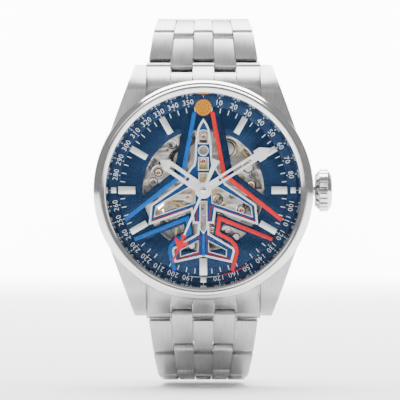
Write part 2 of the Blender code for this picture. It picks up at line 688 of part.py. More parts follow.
def make_winding_work():
    """Ratchet wheel on the barrel arbor, crown wheel, click, and the rotor with its bearing."""
    ratchet = plate(gear(RATCHET_TEETH, WINDING_MODULE, 0.0), 1.95, 0.35, [circle(0.64, 16)])
    add("ratchet_wheel", ratchet, "nickel", (*BARREL, 0))
    crown_teeth = gear(CROWN_WHEEL_TEETH, WINDING_MODULE, CROWN_WHEEL_PHASE)
    crown_wheel = plate(crown_teeth, 1.95, 1.0, [circle(0.9, 16)])
    add("crown_wheel", crown_wheel, "nickel", (*CROWN_WHEEL, 0))
    click_at = polar(RATCHET_TEETH * WINDING_MODULE / 2 + 1.1, math.radians(112), BARREL)
    outline = arc(0.6, math.radians(60), math.radians(300), 8) + [(1.5, -0.75), (1.75, -0.6), (0.75, 0.15)]
    click = plate(outline, 2.0, 0.3, [circle(0.25, 8)])
    add("click", click, "nickel", (*click_at, 0), (0, 0, math.radians(15)))

    axle = tube(1.4, 0.6, 1.2, BRIDGE_BOTTOM - GAP, 24)
    add("rotor_axle", axle, "polished_steel")
    half = math.radians(88)
    sector = arc(10.4, -half, half, 21) + arc(2.4, half, -half, 9)
    windows = [arc(9.4, a, b, 6) + arc(4.0, b, a, 4) for a, b in ((-1.3, -0.5), (-0.38, 0.38), (0.5, 1.3))]
    disc = plate(sector, 1.25, 0.25, windows)
    hub = tube(2.6, 1.45, 1.25, 1.75, 32)
    weight = plate(arc(12.6, -half, half, 25) + arc(10.2, half, -half, 21), 1.25, 0.95)
    rotor = joined(disc, hub, weight)
    rotor.transform(Matrix.Rotation(math.radians(-90), 4, "Z"))
    add("rotor", rotor, "brass")


# ---------------------------------------------------------------- hands
def pointed_hand(length, head_width, head_start, shaft_width, hub, slot_start, slot_end, slot_width, hole):
    """A baton hand along +X with a slot and a pointed head, and a round hub."""
    tip = [(length, 0), (length - head_width * 0.69, head_width / 2), (head_start, head_width / 2)]
    tip += [(head_start - 0.01, shaft_width / 2)]
    half = tip[1:]
    start_angle = math.asin(shaft_width / 2 / hub)
    rounding = arc(hub, start_angle, TAU - start_angle, 17)
    outline = [tip[0]] + half + rounding + [(x, -y) for x, y in reversed(half)]
    slot = [
        (slot_start, slot_width / 2), (slot_start, -slot_width / 2), (slot_end, -slot_width / 2),
        (slot_end, slot_width / 2),
    ]
    return outline, [slot, circle(hole, 20)]


def make_hands():
    outline, holes = pointed_hand(10.2, 2.6, 8.4, 2.1, 1.6, 3.6, 7.6, 0.7, 0.99)
    hour = plate(outline, 8.5, 0.2, holes)
    add("hour_hand", hour, "white_hand", rotation=(0, 0, math.pi / 2 - HOUR_ANGLE))
    outline, holes = pointed_hand(15.1, 2.5, 12.0, 1.5, 1.5, 3.8, 10.7, 0.55, 0.64)
    minute = plate(outline, 8.9, 0.2, holes)
    add("minute_hand", minute, "white_hand", rotation=(0, 0, math.pi / 2 - MINUTE_ANGLE))
    right = [
        (15.1, 0), (13.9, 0.22), (12.1, 0.28), (10.6, 1.4), (10.2, 1.4), (10.4, 0.3), (9.2, 0.2), (0.55, 0.25),
    ]
    tail = [(-0.55, 0.25), (-5.0, 0.45), (-6.3, 0.75)]
    upper = right + arc(0.62, math.radians(24), math.radians(156), 7) + tail
    outline = upper + [(x, -y) for x, y in reversed(upper) if y > 1e-6]
    seconds = plate(outline, 9.3, 0.15, [circle(0.21, 10)])
    add("seconds_hand", seconds, "white_hand", rotation=(0, 0, math.pi / 2 - SECONDS_ANGLE))


# ---------------------------------------------------------------- bracelet
def bracelet_width(distance):
    """Full width at a distance along the bracelet from the first hinge pin."""
    return max(NARROW_END, WIDE_END - TAPER_PER_LINK * distance / LINK_PITCH)


def half_ellipse(centre, direction, count=6):
    """A link's rounded end, from its upper edge round to its lower edge."""
    points = []
    for index in range(count):
        angle = math.pi * index / (count - 1)
        distance = centre + direction * LINK_END * math.sin(angle)
        points.append((distance, LINK_HALF_THICKNESS * math.cos(angle)))
    return points


def column_box(share_low, share_high, s_low, s_high):
    return box((share_low, s_low, -4), (share_high, s_high, 4))


def finger_cutters(start, end, gap_columns):
    """Boxes over the columns that give way, in shares of a width of 1, `gap_columns` outer or inner."""
    centre = CENTRE_COLUMN / 2
    inner = 0.5 - OUTER_COLUMN
    share_gap = COLUMN_GAP / NARROW_END
    if gap_columns == "inner":
        spans = [(centre - share_gap, inner + share_gap), (-inner - share_gap, -centre + share_gap)]
    else:
        spans = [
            (-0.6, -inner + share_gap), (-centre - share_gap, centre + share_gap), (inner - share_gap, 0.6),
        ]
    return merged(*[column_box(low, high, start, end) for low, high in spans])


def pin_along_x(radius, half_length, s, sides=6):
    return along_x(rod(radius, -half_length, half_length, sides), y=s)


def taper(mesh, first_distance):
    """Widens a link drawn one unit wide to the bracelet's width at each point."""
    for vertex in mesh.vertices:
        vertex.co.x *= bracelet_width(first_distance + vertex.co.y)


def link_mesh(index, far_pin=True):
    """One link: two inner fingers round the near pin, three fingers and the pin at the far end."""
    profile = half_ellipse(LINK_PITCH, 1) + half_ellipse(0, -1)[::-1]
    body = extruded_along_x(profile, -0.5, 0.5)
    near = finger_cutters(-3, LINK_END + LINK_GAP, "outer")
    far = finger_cutters(LINK_PITCH - LINK_END - LINK_GAP, LINK_PITCH + 3, "inner")
    body = cut(body, near, far, pin_along_x(PIN_RADIUS + 0.08, 1, 0))
    if far_pin:
        body = joined(body, pin_along_x(PIN_RADIUS, 0.47, LINK_PITCH))
    taper(body, index * LINK_PITCH)
    return body


def chain_pins(tilts):
    """The hinge pins as (y, z), from the end link to the clasp, for the 12 o'clock half."""
    pins = [FIRST_PIN]
    for tilt in tilts:
        angle = math.radians(tilt)
        y, z = pins[-1]
        pins.append((y + LINK_PITCH * math.cos(angle), z - LINK_PITCH * math.sin(angle)))
    return pins


def placed(side, pin, tilt):
    """Location and rotation of a piece drawn from its near pin along +Y."""
    angle = math.radians(tilt)
    rotation = Matrix.Rotation(0.0 if side > 0 else math.pi, 3, "Z") @ Matrix.Rotation(-angle, 3, "X")
    return (0, side * pin[0], pin[1]), rotation.to_euler()


def make_end_link(name, side):
    """The piece between the lugs: it follows the case and carries the first hinge pin."""
    y, z = FIRST_PIN
    knuckle = [(y + s, z + h) for s, h in half_ellipse(0, 1)]
    upper = [(15, 7.7), (19.6, 7.2), (21.6, 6.1), (22.9, 4.6)]
    lower = [(19.9, 1.4), (17.6, 2.2), (15, 2.6)]
    profile = upper + knuckle + lower
    body = extruded_along_x(profile, -10.9, 10.9)
    far = finger_cutters(0, 5, "inner")
    far.transform(Matrix.Diagonal((WIDE_END, 1, 1, 1)))
    far.transform(Matrix.Translation((0, y - LINK_END - LINK_GAP, z)))
    bar_hole = along_x(rod(SPRING_BAR_RADIUS + GAP, -12, 12, 12), y=SPRING_BAR_Y, z=SPRING_BAR_Z)
    body = cut(body, rod(CASE_RADIUS + 0.08, 0, 9, 96), far, bar_hole)
    body = joined(body, along_x(rod(PIN_RADIUS, -10.3, 10.3, 8), y=y, z=z))
    body.transform(Matrix.Translation((0, -y, -z)))
    location, rotation = placed(side, FIRST_PIN, 0)
    add(name, body, "brushed_steel", location, rotation)


def make_chain(prefix, side, tilts, last_pin=True):
    """One half of the bracelet; without its last pin it can part from the clasp blade."""
    pins = chain_pins(tilts)
    for index, (pin, tilt) in enumerate(zip(pins, tilts)):
        location, rotation = placed(side, pin, tilt)
        far_pin = last_pin or index < len(tilts) - 1
        add(f"{prefix}_{index + 1}", link_mesh(index, far_pin), "brushed_steel", location, rotation)


# ---------------------------------------------------------------- clasp
def clasp_circle():
    """Centre of the clasp's curve, through the last pin of each half of the bracelet."""
    top = Vector(chain_pins(TOP_TILTS)[-1])
    low = chain_pins(BOTTOM_TILTS)[-1]
    bottom = Vector((-low[0], low[1]))
    middle = (top + bottom) / 2
    chord = top - bottom
    rise = math.sqrt(CLASP_RADIUS ** 2 - (chord.length / 2) ** 2)
    return middle + Vector((-chord.y, chord.x)).normalized() * rise, top, bottom


CLASP_CENTRE, CLASP_TOP, CLASP_BOTTOM = clasp_circle()


def clasp_point(distance, radius):
    """A (y, z) point a distance along the clasp's curve from its 12 o'clock pin."""
    start = math.atan2(CLASP_TOP.y - CLASP_CENTRE.y, CLASP_TOP.x - CLASP_CENTRE.x)
    angle = start - distance / CLASP_RADIUS
    return (CLASP_CENTRE.x + radius * math.cos(angle), CLASP_CENTRE.y + radius * math.sin(angle))


CLASP_LENGTH = 2 * CLASP_RADIUS * math.asin((CLASP_TOP - CLASP_BOTTOM).length / 2 / CLASP_RADIUS)
FOLD_A = 3.4
FOLD_B = CLASP_LENGTH - 5.2
COVER_INNER, COVER_OUTER = 40.35, 41.35
BLADE_1_RADIUS = 39.75
TONGUE_INNER, TONGUE_OUTER = 37.9, 38.6
FOLD_KNUCKLE = 0.75
FOLD_EAR = 1.0
BUTTON_AT = CLASP_LENGTH * 0.55
BUTTON_RADIUS_FROM_CENTRE = 39.9
BUTTON_RADIUS = 1.0


def curved_strip(start, end, inner, outer, half_width, count=14):
    """A strip that follows the clasp's curve."""
    steps = [start + (end - start) * i / (count - 1) for i in range(count)]
    profile = [clasp_point(s, outer) for s in steps] + [clasp_point(s, inner) for s in reversed(steps)]
    return extruded_along_x(profile, -half_width, half_width)


def knuckle_rod(at, radius, half_length, sides=12):
    return along_x(rod(radius, -half_length, half_length, sides), y=at[0], z=at[1])


def add_at(name, mesh, material, at):
    """Adds a piece drawn in place, with its origin moved to a hinge at (y, z)."""
    mesh.transform(Matrix.Translation((0, -at[0], -at[1])))
    add(name, mesh, material, (0, at[0], at[1]))


def make_clasp():
    """Cover on the 12 o'clock half, and two blades that fold flat against it."""
    half = NARROW_END / 2
    centre = NARROW_END * CENTRE_COLUMN / 2 + COLUMN_GAP
    inner = NARROW_END * (0.5 - OUTER_COLUMN) - COLUMN_GAP
    top_pin = tuple(CLASP_TOP)
    bottom_pin = tuple(CLASP_BOTTOM)
    fold_b = clasp_point(FOLD_B, BLADE_1_RADIUS - 0.25)
    fold_a = clasp_point(FOLD_A, BLADE_1_RADIUS - 0.8)

    cover = curved_strip(1.3, FOLD_B + 1.2, COVER_INNER, COVER_OUTER, half)
    for sign in (1, -1):
        wall = curved_strip(1.5, FOLD_B - 1.6, 38.9, COVER_OUTER - 0.3, 0.5)
        wall.transform(Matrix.Translation((sign * (half - 0.6), 0, 0)))
        cover = joined(cover, wall)
    for sign in (1, -1):
        finger = curved_strip(0.1, 2.4, 39.5, COVER_OUTER - 0.25, (inner - centre) / 2 - 0.02, 4)
        finger.transform(Matrix.Translation((sign * (inner + centre) / 2, 0, 0)))
        eye = knuckle_rod(top_pin, LINK_END, (inner - centre) / 2)
        eye.transform(Matrix.Translation((sign * (inner + centre) / 2, 0, 0)))
        cover = joined(cover, finger, eye)
    cover = cut(cover, knuckle_rod(top_pin, PIN_RADIUS + 0.08, half, 8))
    for sign in (1, -1):
        button_at = clasp_point(BUTTON_AT, BUTTON_RADIUS_FROM_CENTRE)
        button_hole = knuckle_rod(button_at, BUTTON_RADIUS + GAP, 0.9)
        button_hole.transform(Matrix.Translation((sign * (half - 0.15), 0, 0)))
        cover = cut(cover, button_hole)
    ears = [knuckle_rod(fold_b, FOLD_EAR, 0.6) for _ in range(2)]
    ears[0].transform(Matrix.Translation((5.9, 0, 0)))
    ears[1].transform(Matrix.Translation((-5.9, 0, 0)))
    cover = joined(cover, *ears, knuckle_rod(fold_b, 0.35, 6.2, 8))
    add_at("clasp_cover", cover, "brushed_steel", top_pin)

    blade = curved_strip(FOLD_A, FOLD_B, BLADE_1_RADIUS - 0.4, BLADE_1_RADIUS + 0.35, 5.2)
    blade = joined(blade, knuckle_rod(fold_b, FOLD_KNUCKLE, 5.2), knuckle_rod(fold_a, 0.55, 5.2))
    slot = curved_strip(FOLD_A + 4, FOLD_B - 4, 38, 41, 2.6)
    notch = box((-3.1, fold_a[0] - 1.4, fold_a[1] - 1.4), (3.1, fold_a[0] + 1.4, fold_a[1] + 1.4))
    blade = cut(blade, knuckle_rod(fold_b, 0.42, 8, 8), slot, notch)
    blade = joined(blade, knuckle_rod(fold_a, 0.3, 5.0, 8))
    add_at("clasp_blade_1", blade, "polished_steel", fold_b)

    tongue = curved_strip(FOLD_A, CLASP_LENGTH - 2.2, TONGUE_INNER, TONGUE_OUTER, 3.0)
    eye = knuckle_rod(fold_a, 0.6, 3.0)
    tongue = joined(tongue, eye)
    for sign in (1, -1):
        half_finger = (inner - centre) / 2 - 0.02
        finger = curved_strip(CLASP_LENGTH - 3.4, CLASP_LENGTH, TONGUE_INNER + 0.1, 39.4, half_finger, 4)
        finger.transform(Matrix.Translation((sign * (inner + centre) / 2, 0, 0)))
        eye = knuckle_rod(bottom_pin, LINK_END, (inner - centre) / 2)
        eye.transform(Matrix.Translation((sign * (inner + centre) / 2, 0, 0)))
        tongue = joined(tongue, finger, eye)
    pin_hole = knuckle_rod(bottom_pin, PIN_RADIUS + 0.25, half, 8)
    tongue = cut(tongue, knuckle_rod(fold_a, 0.38, 8, 8), pin_hole)
    add_at("clasp_blade_2", tongue, "polished_steel", fold_a)

    for sign, name in ((1, "clasp_button_right"), (-1, "clasp_button_left")):
        button_at = clasp_point(BUTTON_AT, BUTTON_RADIUS_FROM_CENTRE)
        cap = along_x(rod(BUTTON_RADIUS, 0, 1.3, 16))
        if sign < 0:
            cap.transform(Matrix.Rotation(math.pi, 4, "Z"))
        add(name, cap, "polished_steel", (sign * (half + GAP), *button_at))


def make_all():
    make_case_middle()
    make_bezel()
    make_crystal()
    make_inner_flange()
    make_case_back()
    make_crown_tube()
    make_spring_bar("spring_bar_top", 1)
    make_spring_bar("spring_bar_bottom", -1)
    make_stem_and_crown()
    make_winding_pinion()
    make_dial()
    make_movement_ring()
    make_main_plate()
    make_bridges()
    make_barrel()
    make_train()
    make_escapement()
    make_motion_work()
    make_winding_work()
    make_hands()
    make_end_link("end_link_top", 1)
    make_end_link("end_link_bottom", -1)
    make_chain("link_top", 1, TOP_TILTS)
    make_chain("link_bottom", -1, BOTTOM_TILTS, last_pin=False)
    make_clasp()


make_all()
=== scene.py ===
"""Skeleton wristwatch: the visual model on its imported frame.

Pieces are drawn in millimetres, dial up (X to 3 o'clock, Y to 12 o'clock, Z out through
the crystal, Z = 0 at the case back), and then turned upright into the frame's metres.
"""
import json
import math

import bmesh
import bpy
from mathutils import Matrix, Vector


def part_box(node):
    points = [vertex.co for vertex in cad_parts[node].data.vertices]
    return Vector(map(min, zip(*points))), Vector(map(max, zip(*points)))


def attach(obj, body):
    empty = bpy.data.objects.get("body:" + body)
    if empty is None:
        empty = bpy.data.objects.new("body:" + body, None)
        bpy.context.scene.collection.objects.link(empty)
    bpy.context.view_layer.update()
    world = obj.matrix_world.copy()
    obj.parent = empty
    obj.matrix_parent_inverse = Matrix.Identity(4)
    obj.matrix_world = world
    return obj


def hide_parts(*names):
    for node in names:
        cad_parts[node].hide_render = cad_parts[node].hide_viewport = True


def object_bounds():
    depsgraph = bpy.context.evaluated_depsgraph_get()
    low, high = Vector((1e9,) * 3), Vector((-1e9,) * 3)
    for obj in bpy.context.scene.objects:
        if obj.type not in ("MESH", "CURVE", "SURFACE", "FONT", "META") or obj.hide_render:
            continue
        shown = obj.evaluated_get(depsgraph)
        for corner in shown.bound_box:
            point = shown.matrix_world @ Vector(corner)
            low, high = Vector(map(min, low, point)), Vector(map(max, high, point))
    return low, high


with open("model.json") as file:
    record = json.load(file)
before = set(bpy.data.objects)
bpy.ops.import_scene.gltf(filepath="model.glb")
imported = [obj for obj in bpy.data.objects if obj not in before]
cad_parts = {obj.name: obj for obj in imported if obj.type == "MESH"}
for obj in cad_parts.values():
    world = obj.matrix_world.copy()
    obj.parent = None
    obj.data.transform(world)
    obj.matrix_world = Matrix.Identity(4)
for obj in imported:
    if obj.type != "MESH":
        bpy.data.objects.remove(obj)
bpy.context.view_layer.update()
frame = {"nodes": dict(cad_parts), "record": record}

TAU = 2 * math.pi
SMOOTH_ANGLE = math.radians(32)
WELD_DISTANCE = 0.0005
UPRIGHT = Matrix.Rotation(math.pi / 2, 4, "X") @ Matrix.Scale(0.001, 4)


# ---------------------------------------------------------------- sizes read from the frame (mm)
def drawn_box(node):
    """A node's box in the drawing's millimetres: ((x, y, z) low, (x, y, z) high)."""
    low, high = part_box(node)
    return (
        (low[0] * 1000, low[2] * 1000, -high[1] * 1000),
        (high[0] * 1000, high[2] * 1000, -low[1] * 1000),
    )


BEZEL_RADIUS = drawn_box("bezel")[1][0]
CASE_HIGH = drawn_box("case_middle")[1]
CASE_RADIUS = CASE_HIGH[0]
CASE_BOTTOM, CASE_TOP = 1.5, CASE_HIGH[2]
LUG_TIP_Y = CASE_HIGH[1]
DIAL_BOTTOM = drawn_box("dial")[0][2]
DIAL_TOP = DIAL_BOTTOM + 0.4
PLATE_BOTTOM, PLATE_TOP = (corner[2] for corner in drawn_box("main_plate"))
CROWN_LOW, CROWN_HIGH = drawn_box("crown")
CROWN_RADIUS = (CROWN_HIGH[2] - CROWN_LOW[2]) / 2
STEM_Z = (CROWN_HIGH[2] + CROWN_LOW[2]) / 2


def joint(name):
    return next(each for each in frame["record"]["behaviour"]["joints"] if each["name"] == name)


def joint_point(name):
    """A hinge's place in the drawing: (x, y, z) in millimetres."""
    x, y, z = joint(name)["pos_m"]
    return (x * 1000, z * 1000, -y * 1000)


BALANCE = joint_point("balance_swing")[:2]
THIRD = joint_point("third_turn")[:2]
ESCAPE = joint_point("escape_turn")[:2]

INNER_RING = 11.6
CHAPTER_STEP = 16.1
LUG_WIDTH = 22.0
LUG_TIP_X = 13.1
LUG_ROOT = (18.4, 9.3)

HOUR_ANGLE, MINUTE_ANGLE, SECONDS_ANGLE = (math.radians(angle) for angle in (304.8, 57.8, 203.2))

LINK_PITCH = 6.7
LINK_HALF_THICKNESS = 1.3
LINK_END = 0.95
LINK_GAP = 0.12
NARROW_END = 16.0
WIDE_END = 21.4
TAPER_PER_LINK = 1.85
OUTER_COLUMN = 0.21
CENTRE_COLUMN = 0.189
LINKS_PER_SIDE = 7
LAST_LINK_TILT = math.radians(152)
PIN_RADIUS = 0.4
END_LINK_WIDTH = 21.8

HOUR_HAND_Z, MINUTE_HAND_Z, SECONDS_HAND_Z = 8.5, 8.9, 9.3
HUB_HOLE = 0.62
ARBOR_BOTTOM = 2.55
BRIDGE_BOTTOM = 2.4
ROTOR_BOTTOM, ROTOR_WEB_TOP, ROTOR_RIM_TOP = 1.25, 1.5, 2.2
ROTOR_HALF_ANGLE = math.radians(88)
BACK_NOTCHES = 6
CROWN_FLUTES, CROWN_TEETH = 24, 16
DISC_CENTRE = (0, 15.8)
GEAR_PLATE_CENTRE = (-3.3, 5.4)


# ---------------------------------------------------------------- materials
class Shader:
    """A Principled material and short names for the nodes that feed it."""

    def __init__(self, name, colour, roughness, metallic=0.0, **sockets):
        self.material = bpy.data.materials.new(name)
        self.material.use_nodes = True
        self.nodes = self.material.node_tree.nodes
        self.links = self.material.node_tree.links
        self.principled = self.nodes["Principled BSDF"]
        self.principled.inputs["Base Color"].default_value = (*colour, 1)
        self.principled.inputs["Roughness"].default_value = roughness
        self.principled.inputs["Metallic"].default_value = metallic
        for socket, value in sockets.items():
            self.principled.inputs[socket.replace("_", " ")].default_value = value

    def node(self, kind, **settings):
        made = self.nodes.new(kind)
        for name, value in settings.items():
            setattr(made, name, value)
        return made

    def link(self, source, target):
        self.links.new(source, target)

    def math(self, operation, first, second=None):
        node = self.node("ShaderNodeMath", operation=operation)
        for socket, value in zip(node.inputs, (first, second)):
            if value is None:
                continue
            if isinstance(value, (int, float)):
                socket.default_value = value
            else:
                self.link(value, socket)
        return node.outputs[0]

    def drawing(self, scale=(1, 1, 1)):
        """The piece's flat drawing coordinates in millimetres, stretched by `scale`."""
        uv = self.node("ShaderNodeUVMap", uv_map="drawing")
        mapping = self.node("ShaderNodeMapping")
        mapping.inputs["Scale"].default_value = scale
        self.link(uv.outputs[0], mapping.inputs["Vector"])
        return mapping.outputs[0]

    def object_space(self, scale=1.0):
        """The piece's own coordinates in metres, times `scale`."""
        coordinates = self.node("ShaderNodeTexCoord")
        mapping = self.node("ShaderNodeMapping")
        mapping.inputs["Scale"].default_value = (scale, scale, scale)
        self.link(coordinates.outputs["Object"], mapping.inputs["Vector"])
        return mapping.outputs[0]

    def noise(self, vector, scale=1.0, detail=2.0, dimensions="3D"):
        node = self.node("ShaderNodeTexNoise", noise_dimensions=dimensions)
        node.inputs["Scale"].default_value = scale
        node.inputs["Detail"].default_value = detail
        if dimensions == "1D":
            self.link(vector, node.inputs["W"])
        else:
            self.link(vector, node.inputs["Vector"])
        return node.outputs["Fac"]

    def ramp(self, factor, *stops):
        node = self.node("ShaderNodeValToRGB")
        elements = node.color_ramp.elements
        while len(elements) < len(stops):
            elements.new(0.5)
        for element, (position, colour) in zip(elements, stops):
            element.position = position
            element.color = (*colour, 1)
        self.link(factor, node.inputs["Fac"])
        return node.outputs["Color"]

    def remap(self, value, low, high):
        node = self.node("ShaderNodeMapRange")
        node.inputs["To Min"].default_value = low
        node.inputs["To Max"].default_value = high
        self.link(value, node.inputs["Value"])
        return node.outputs[0]

    def colour(self, source):
        self.link(source, self.principled.inputs["Base Color"])

    def roughness(self, source):
        self.link(source, self.principled.inputs["Roughness"])

    def bump(self, height, strength=0.2, distance=0.00002):
        node = self.node("ShaderNodeBump")
        node.inputs["Strength"].default_value = strength
        node.inputs["Distance"].default_value = distance
        self.link(height, node.inputs["Height"])
        self.link(node.outputs[0], self.principled.inputs["Normal"])


def grey(value, warm=0.0):
    return (value, value * (1 - warm * 0.5), value * (1 - warm))


def brushed(name, light, dark, along=(14.0, 0.35), roughness=(0.26, 0.42), strength=0.35):
    """Steel with straight grain along the drawing's Y."""
    shader = Shader(name, grey(light), sum(roughness) / 2, 1.0)
    grain = shader.noise(shader.drawing((along[0], along[1], 1)), 1.0, 5.0)
    shader.colour(shader.ramp(grain, (0.3, grey(dark)), (0.7, grey(light))))
    shader.roughness(shader.remap(grain, *roughness))
    shader.bump(grain, strength, 0.00003)
    return shader.material


def polished(name, light=0.86, roughness=(0.05, 0.12), warm=0.01):
    """Polished steel with the faintest hairline wear."""
    shader = Shader(name, grey(light, warm), 0.08, 1.0)
    wear = shader.noise(shader.object_space(900.0), 1.0, 4.0)
    shader.colour(shader.ramp(wear, (0.35, grey(light * 0.95, warm)), (0.65, grey(light, warm))))
    shader.roughness(shader.remap(wear, *roughness))
    return shader.material


def turned_metal(name, light, dark, rings=40.0, roughness=(0.2, 0.34)):
    """Metal with concentric turning marks about the drawing's origin."""
    shader = Shader(name, light, sum(roughness) / 2, 1.0)
    length = shader.node("ShaderNodeVectorMath", operation="LENGTH")
    shader.link(shader.drawing(), length.inputs[0])
    marks = shader.noise(shader.math("MULTIPLY", length.outputs["Value"], rings), 1.0, 3.0, "1D")
    shader.colour(shader.ramp(marks, (0.3, dark), (0.7, light)))
    shader.roughness(shader.remap(marks, *roughness))
    shader.bump(marks, 0.25, 0.00001)
    return shader.material


def sunray(name, light, dark, rays=38.0, roughness=(0.34, 0.46), metallic=0.6, coat=0.06):
    """Lacquer over fine rays that run out from the drawing's origin."""
    shader = Shader(name, light, 0.3, metallic, Coat_Weight=coat, Coat_Roughness=0.2, Specular_IOR_Level=0.25)
    split = shader.node("ShaderNodeSeparateXYZ")
    shader.link(shader.drawing(), split.inputs[0])
    angle = shader.math("ARCTAN2", split.outputs["Y"], split.outputs["X"])
    rays_value = shader.noise(shader.math("MULTIPLY", angle, rays), 1.0, 6.0, "1D")
    shader.colour(shader.ramp(rays_value, (0.25, dark), (0.75, light)))
    shader.roughness(shader.remap(rays_value, *roughness))
    shader.bump(rays_value, 0.25, 0.00002)
    return shader.material


def lacquer(name, light, dark, roughness=(0.38, 0.5), level=0.25):
    """Printed or lacquered colour with a slight unevenness."""
    shader = Shader(name, light, 0.45, 0.0, Specular_IOR_Level=level)
    cloud = shader.noise(shader.drawing((1.4, 1.4, 1)), 2.0, 5.0)
    shader.colour(shader.ramp(cloud, (0.3, dark), (0.7, light)))
    shader.roughness(shader.remap(cloud, *roughness))
    shader.bump(cloud, 0.08, 0.00002)
    return shader.material


def perlage(name, light, dark, cell=1.1):
    """Nickel with overlapping circular graining."""
    shader = Shader(name, light, 0.3, 1.0)
    spots = shader.node("ShaderNodeTexVoronoi", feature="F1")
    spots.inputs["Scale"].default_value = cell
    spots.inputs["Randomness"].default_value = 0.12
    shader.link(shader.drawing(), spots.inputs["Vector"])
    rings = shader.math("SINE", shader.math("MULTIPLY", spots.outputs["Distance"], 26.0))
    fine = shader.noise(shader.drawing((9, 9, 1)), 1.0, 4.0)
    mixed = shader.math("ADD", shader.math("MULTIPLY", rings, 0.25), fine)
    shader.colour(shader.ramp(mixed, (0.2, dark), (0.75, light)))
    shader.roughness(shader.remap(mixed, 0.25, 0.42))
    shader.bump(mixed, 0.3, 0.00001)
    return shader.material


def striped(name, light, dark, stripe=0.9):
    """Bridges with broad parallel stripes."""
    shader = Shader(name, light, 0.28, 1.0)
    wave = shader.node("ShaderNodeTexWave", wave_type="BANDS", bands_direction="DIAGONAL", wave_profile="SAW")
    wave.inputs["Scale"].default_value = stripe * 0.35
    wave.inputs["Distortion"].default_value = 0.4
    wave.inputs["Detail"].default_value = 2.0
    shader.link(shader.drawing(), wave.inputs["Vector"])
    shader.colour(shader.ramp(wave.outputs["Fac"], (0.0, dark), (1.0, light)))
    shader.roughness(shader.remap(wave.outputs["Fac"], 0.2, 0.4))
    shader.bump(wave.outputs["Fac"], 0.3, 0.00002)
    return shader.material


def gem(name, colour, deep):
    shader = Shader(name, colour, 0.06, 0.0, Coat_Weight=1.0, Coat_Roughness=0.03)
    cloud = shader.noise(shader.object_space(2500.0), 1.0, 2.0)
    shader.colour(shader.ramp(cloud, (0.3, deep), (0.7, colour)))
    return shader.material


def glass(name, alpha):
    shader = Shader(name, (0.02, 0.022, 0.025), 0.02, 0.0, Alpha=alpha, IOR=1.6)
    smear = shader.noise(shader.object_space(60.0), 1.0, 3.0)
    shader.roughness(shader.remap(smear, 0.01, 0.04))
    return shader.material


MATERIALS = {
    "link_steel": brushed("link_steel", 0.60, 0.42),
    "lug_steel": brushed("lug_steel", 0.56, 0.38, (9.0, 0.3)),
    "polished_steel": polished("polished_steel", 0.84),
    "marker_steel": polished("marker_steel", 0.95, (0.34, 0.44), 0.0),
    # Steel with a blue tint: partly the steel's own colour, partly a painted reflection of the blue dial.
    "rehaut_steel_and_dial_reflection": turned_metal("rehaut_steel_and_dial_reflection", (0.62, 0.66, 0.70), (0.50, 0.54, 0.58), 12.0, (0.1, 0.18)),
    "back_steel": turned_metal("back_steel", (0.52, 0.52, 0.51), (0.38, 0.38, 0.37)),
    "dial_blue": sunray("dial_blue", (0.010, 0.040, 0.105), (0.005, 0.024, 0.070)),
    "chapter_blue": sunray("chapter_blue", (0.012, 0.042, 0.105), (0.008, 0.028, 0.075), 60.0),
    "plane_navy": sunray("plane_navy", (0.006, 0.025, 0.085), (0.003, 0.014, 0.050), 24.0),
    "plane_blue": lacquer("plane_blue", (0.004, 0.060, 0.215), (0.003, 0.045, 0.170)),
    "trail_blue": lacquer("trail_blue", (0.002, 0.130, 0.520), (0.002, 0.110, 0.460)),
    "trail_red": lacquer("trail_red", (0.780, 0.018, 0.022), (0.700, 0.014, 0.018)),
    "thin_red": lacquer("thin_red", (0.320, 0.012, 0.022), (0.260, 0.010, 0.018)),
    "white_lacquer": lacquer("white_lacquer", (0.88, 0.91, 0.94), (0.80, 0.84, 0.88)),
    "print_white": lacquer("print_white", (0.90, 0.93, 0.96), (0.82, 0.86, 0.90)),
    "hand_white": lacquer("hand_white", (0.96, 0.96, 0.96), (0.90, 0.90, 0.91), (0.3, 0.4), 0.5),
    "gold_disc": turned_metal("gold_disc", (0.95, 0.42, 0.05), (0.85, 0.34, 0.04), 5.0, (0.28, 0.4)),
    # Darker gold: painted shade standing for the inside of the disc's pits.
    "gold_pit_shade": lacquer("gold_pit_shade", (0.30, 0.13, 0.03), (0.22, 0.09, 0.02)),
    "movement_plate": perlage("movement_plate", (0.66, 0.62, 0.58), (0.40, 0.37, 0.34)),
    "bridge": striped("bridge", (0.52, 0.50, 0.47), (0.30, 0.29, 0.27)),
    "nickel": turned_metal("nickel", (0.72, 0.70, 0.67), (0.58, 0.56, 0.53), 18.0),
    # Near-black steel: the calendar gear's own colour, and the painted shade of the groove rings on the main
    # plate.
    "dark_steel_and_shade": turned_metal("dark_steel_and_shade", (0.10, 0.09, 0.09), (0.05, 0.05, 0.05), 14.0, (0.3, 0.45)),
    # Painted shade for the crown: the grooves between its flutes and the gaps between its teeth.
    "groove_shade": turned_metal("groove_shade", (0.22, 0.20, 0.17), (0.13, 0.12, 0.10), 10.0, (0.3, 0.4)),
    "brass": turned_metal("brass", (0.88, 0.66, 0.30), (0.74, 0.52, 0.22), 14.0),
    "balance_gold": turned_metal("balance_gold", (0.95, 0.76, 0.40), (0.82, 0.62, 0.30), 10.0, (0.15, 0.26)),
    "blued_steel": polished("blued_steel", 0.20, (0.15, 0.25), -1.6),
    "ruby": gem("ruby", (0.72, 0.02, 0.10), (0.45, 0.01, 0.05)),
    "crystal_glass": glass("crystal_glass", 0.035),
    "window_glass": glass("window_glass", 0.06),
}


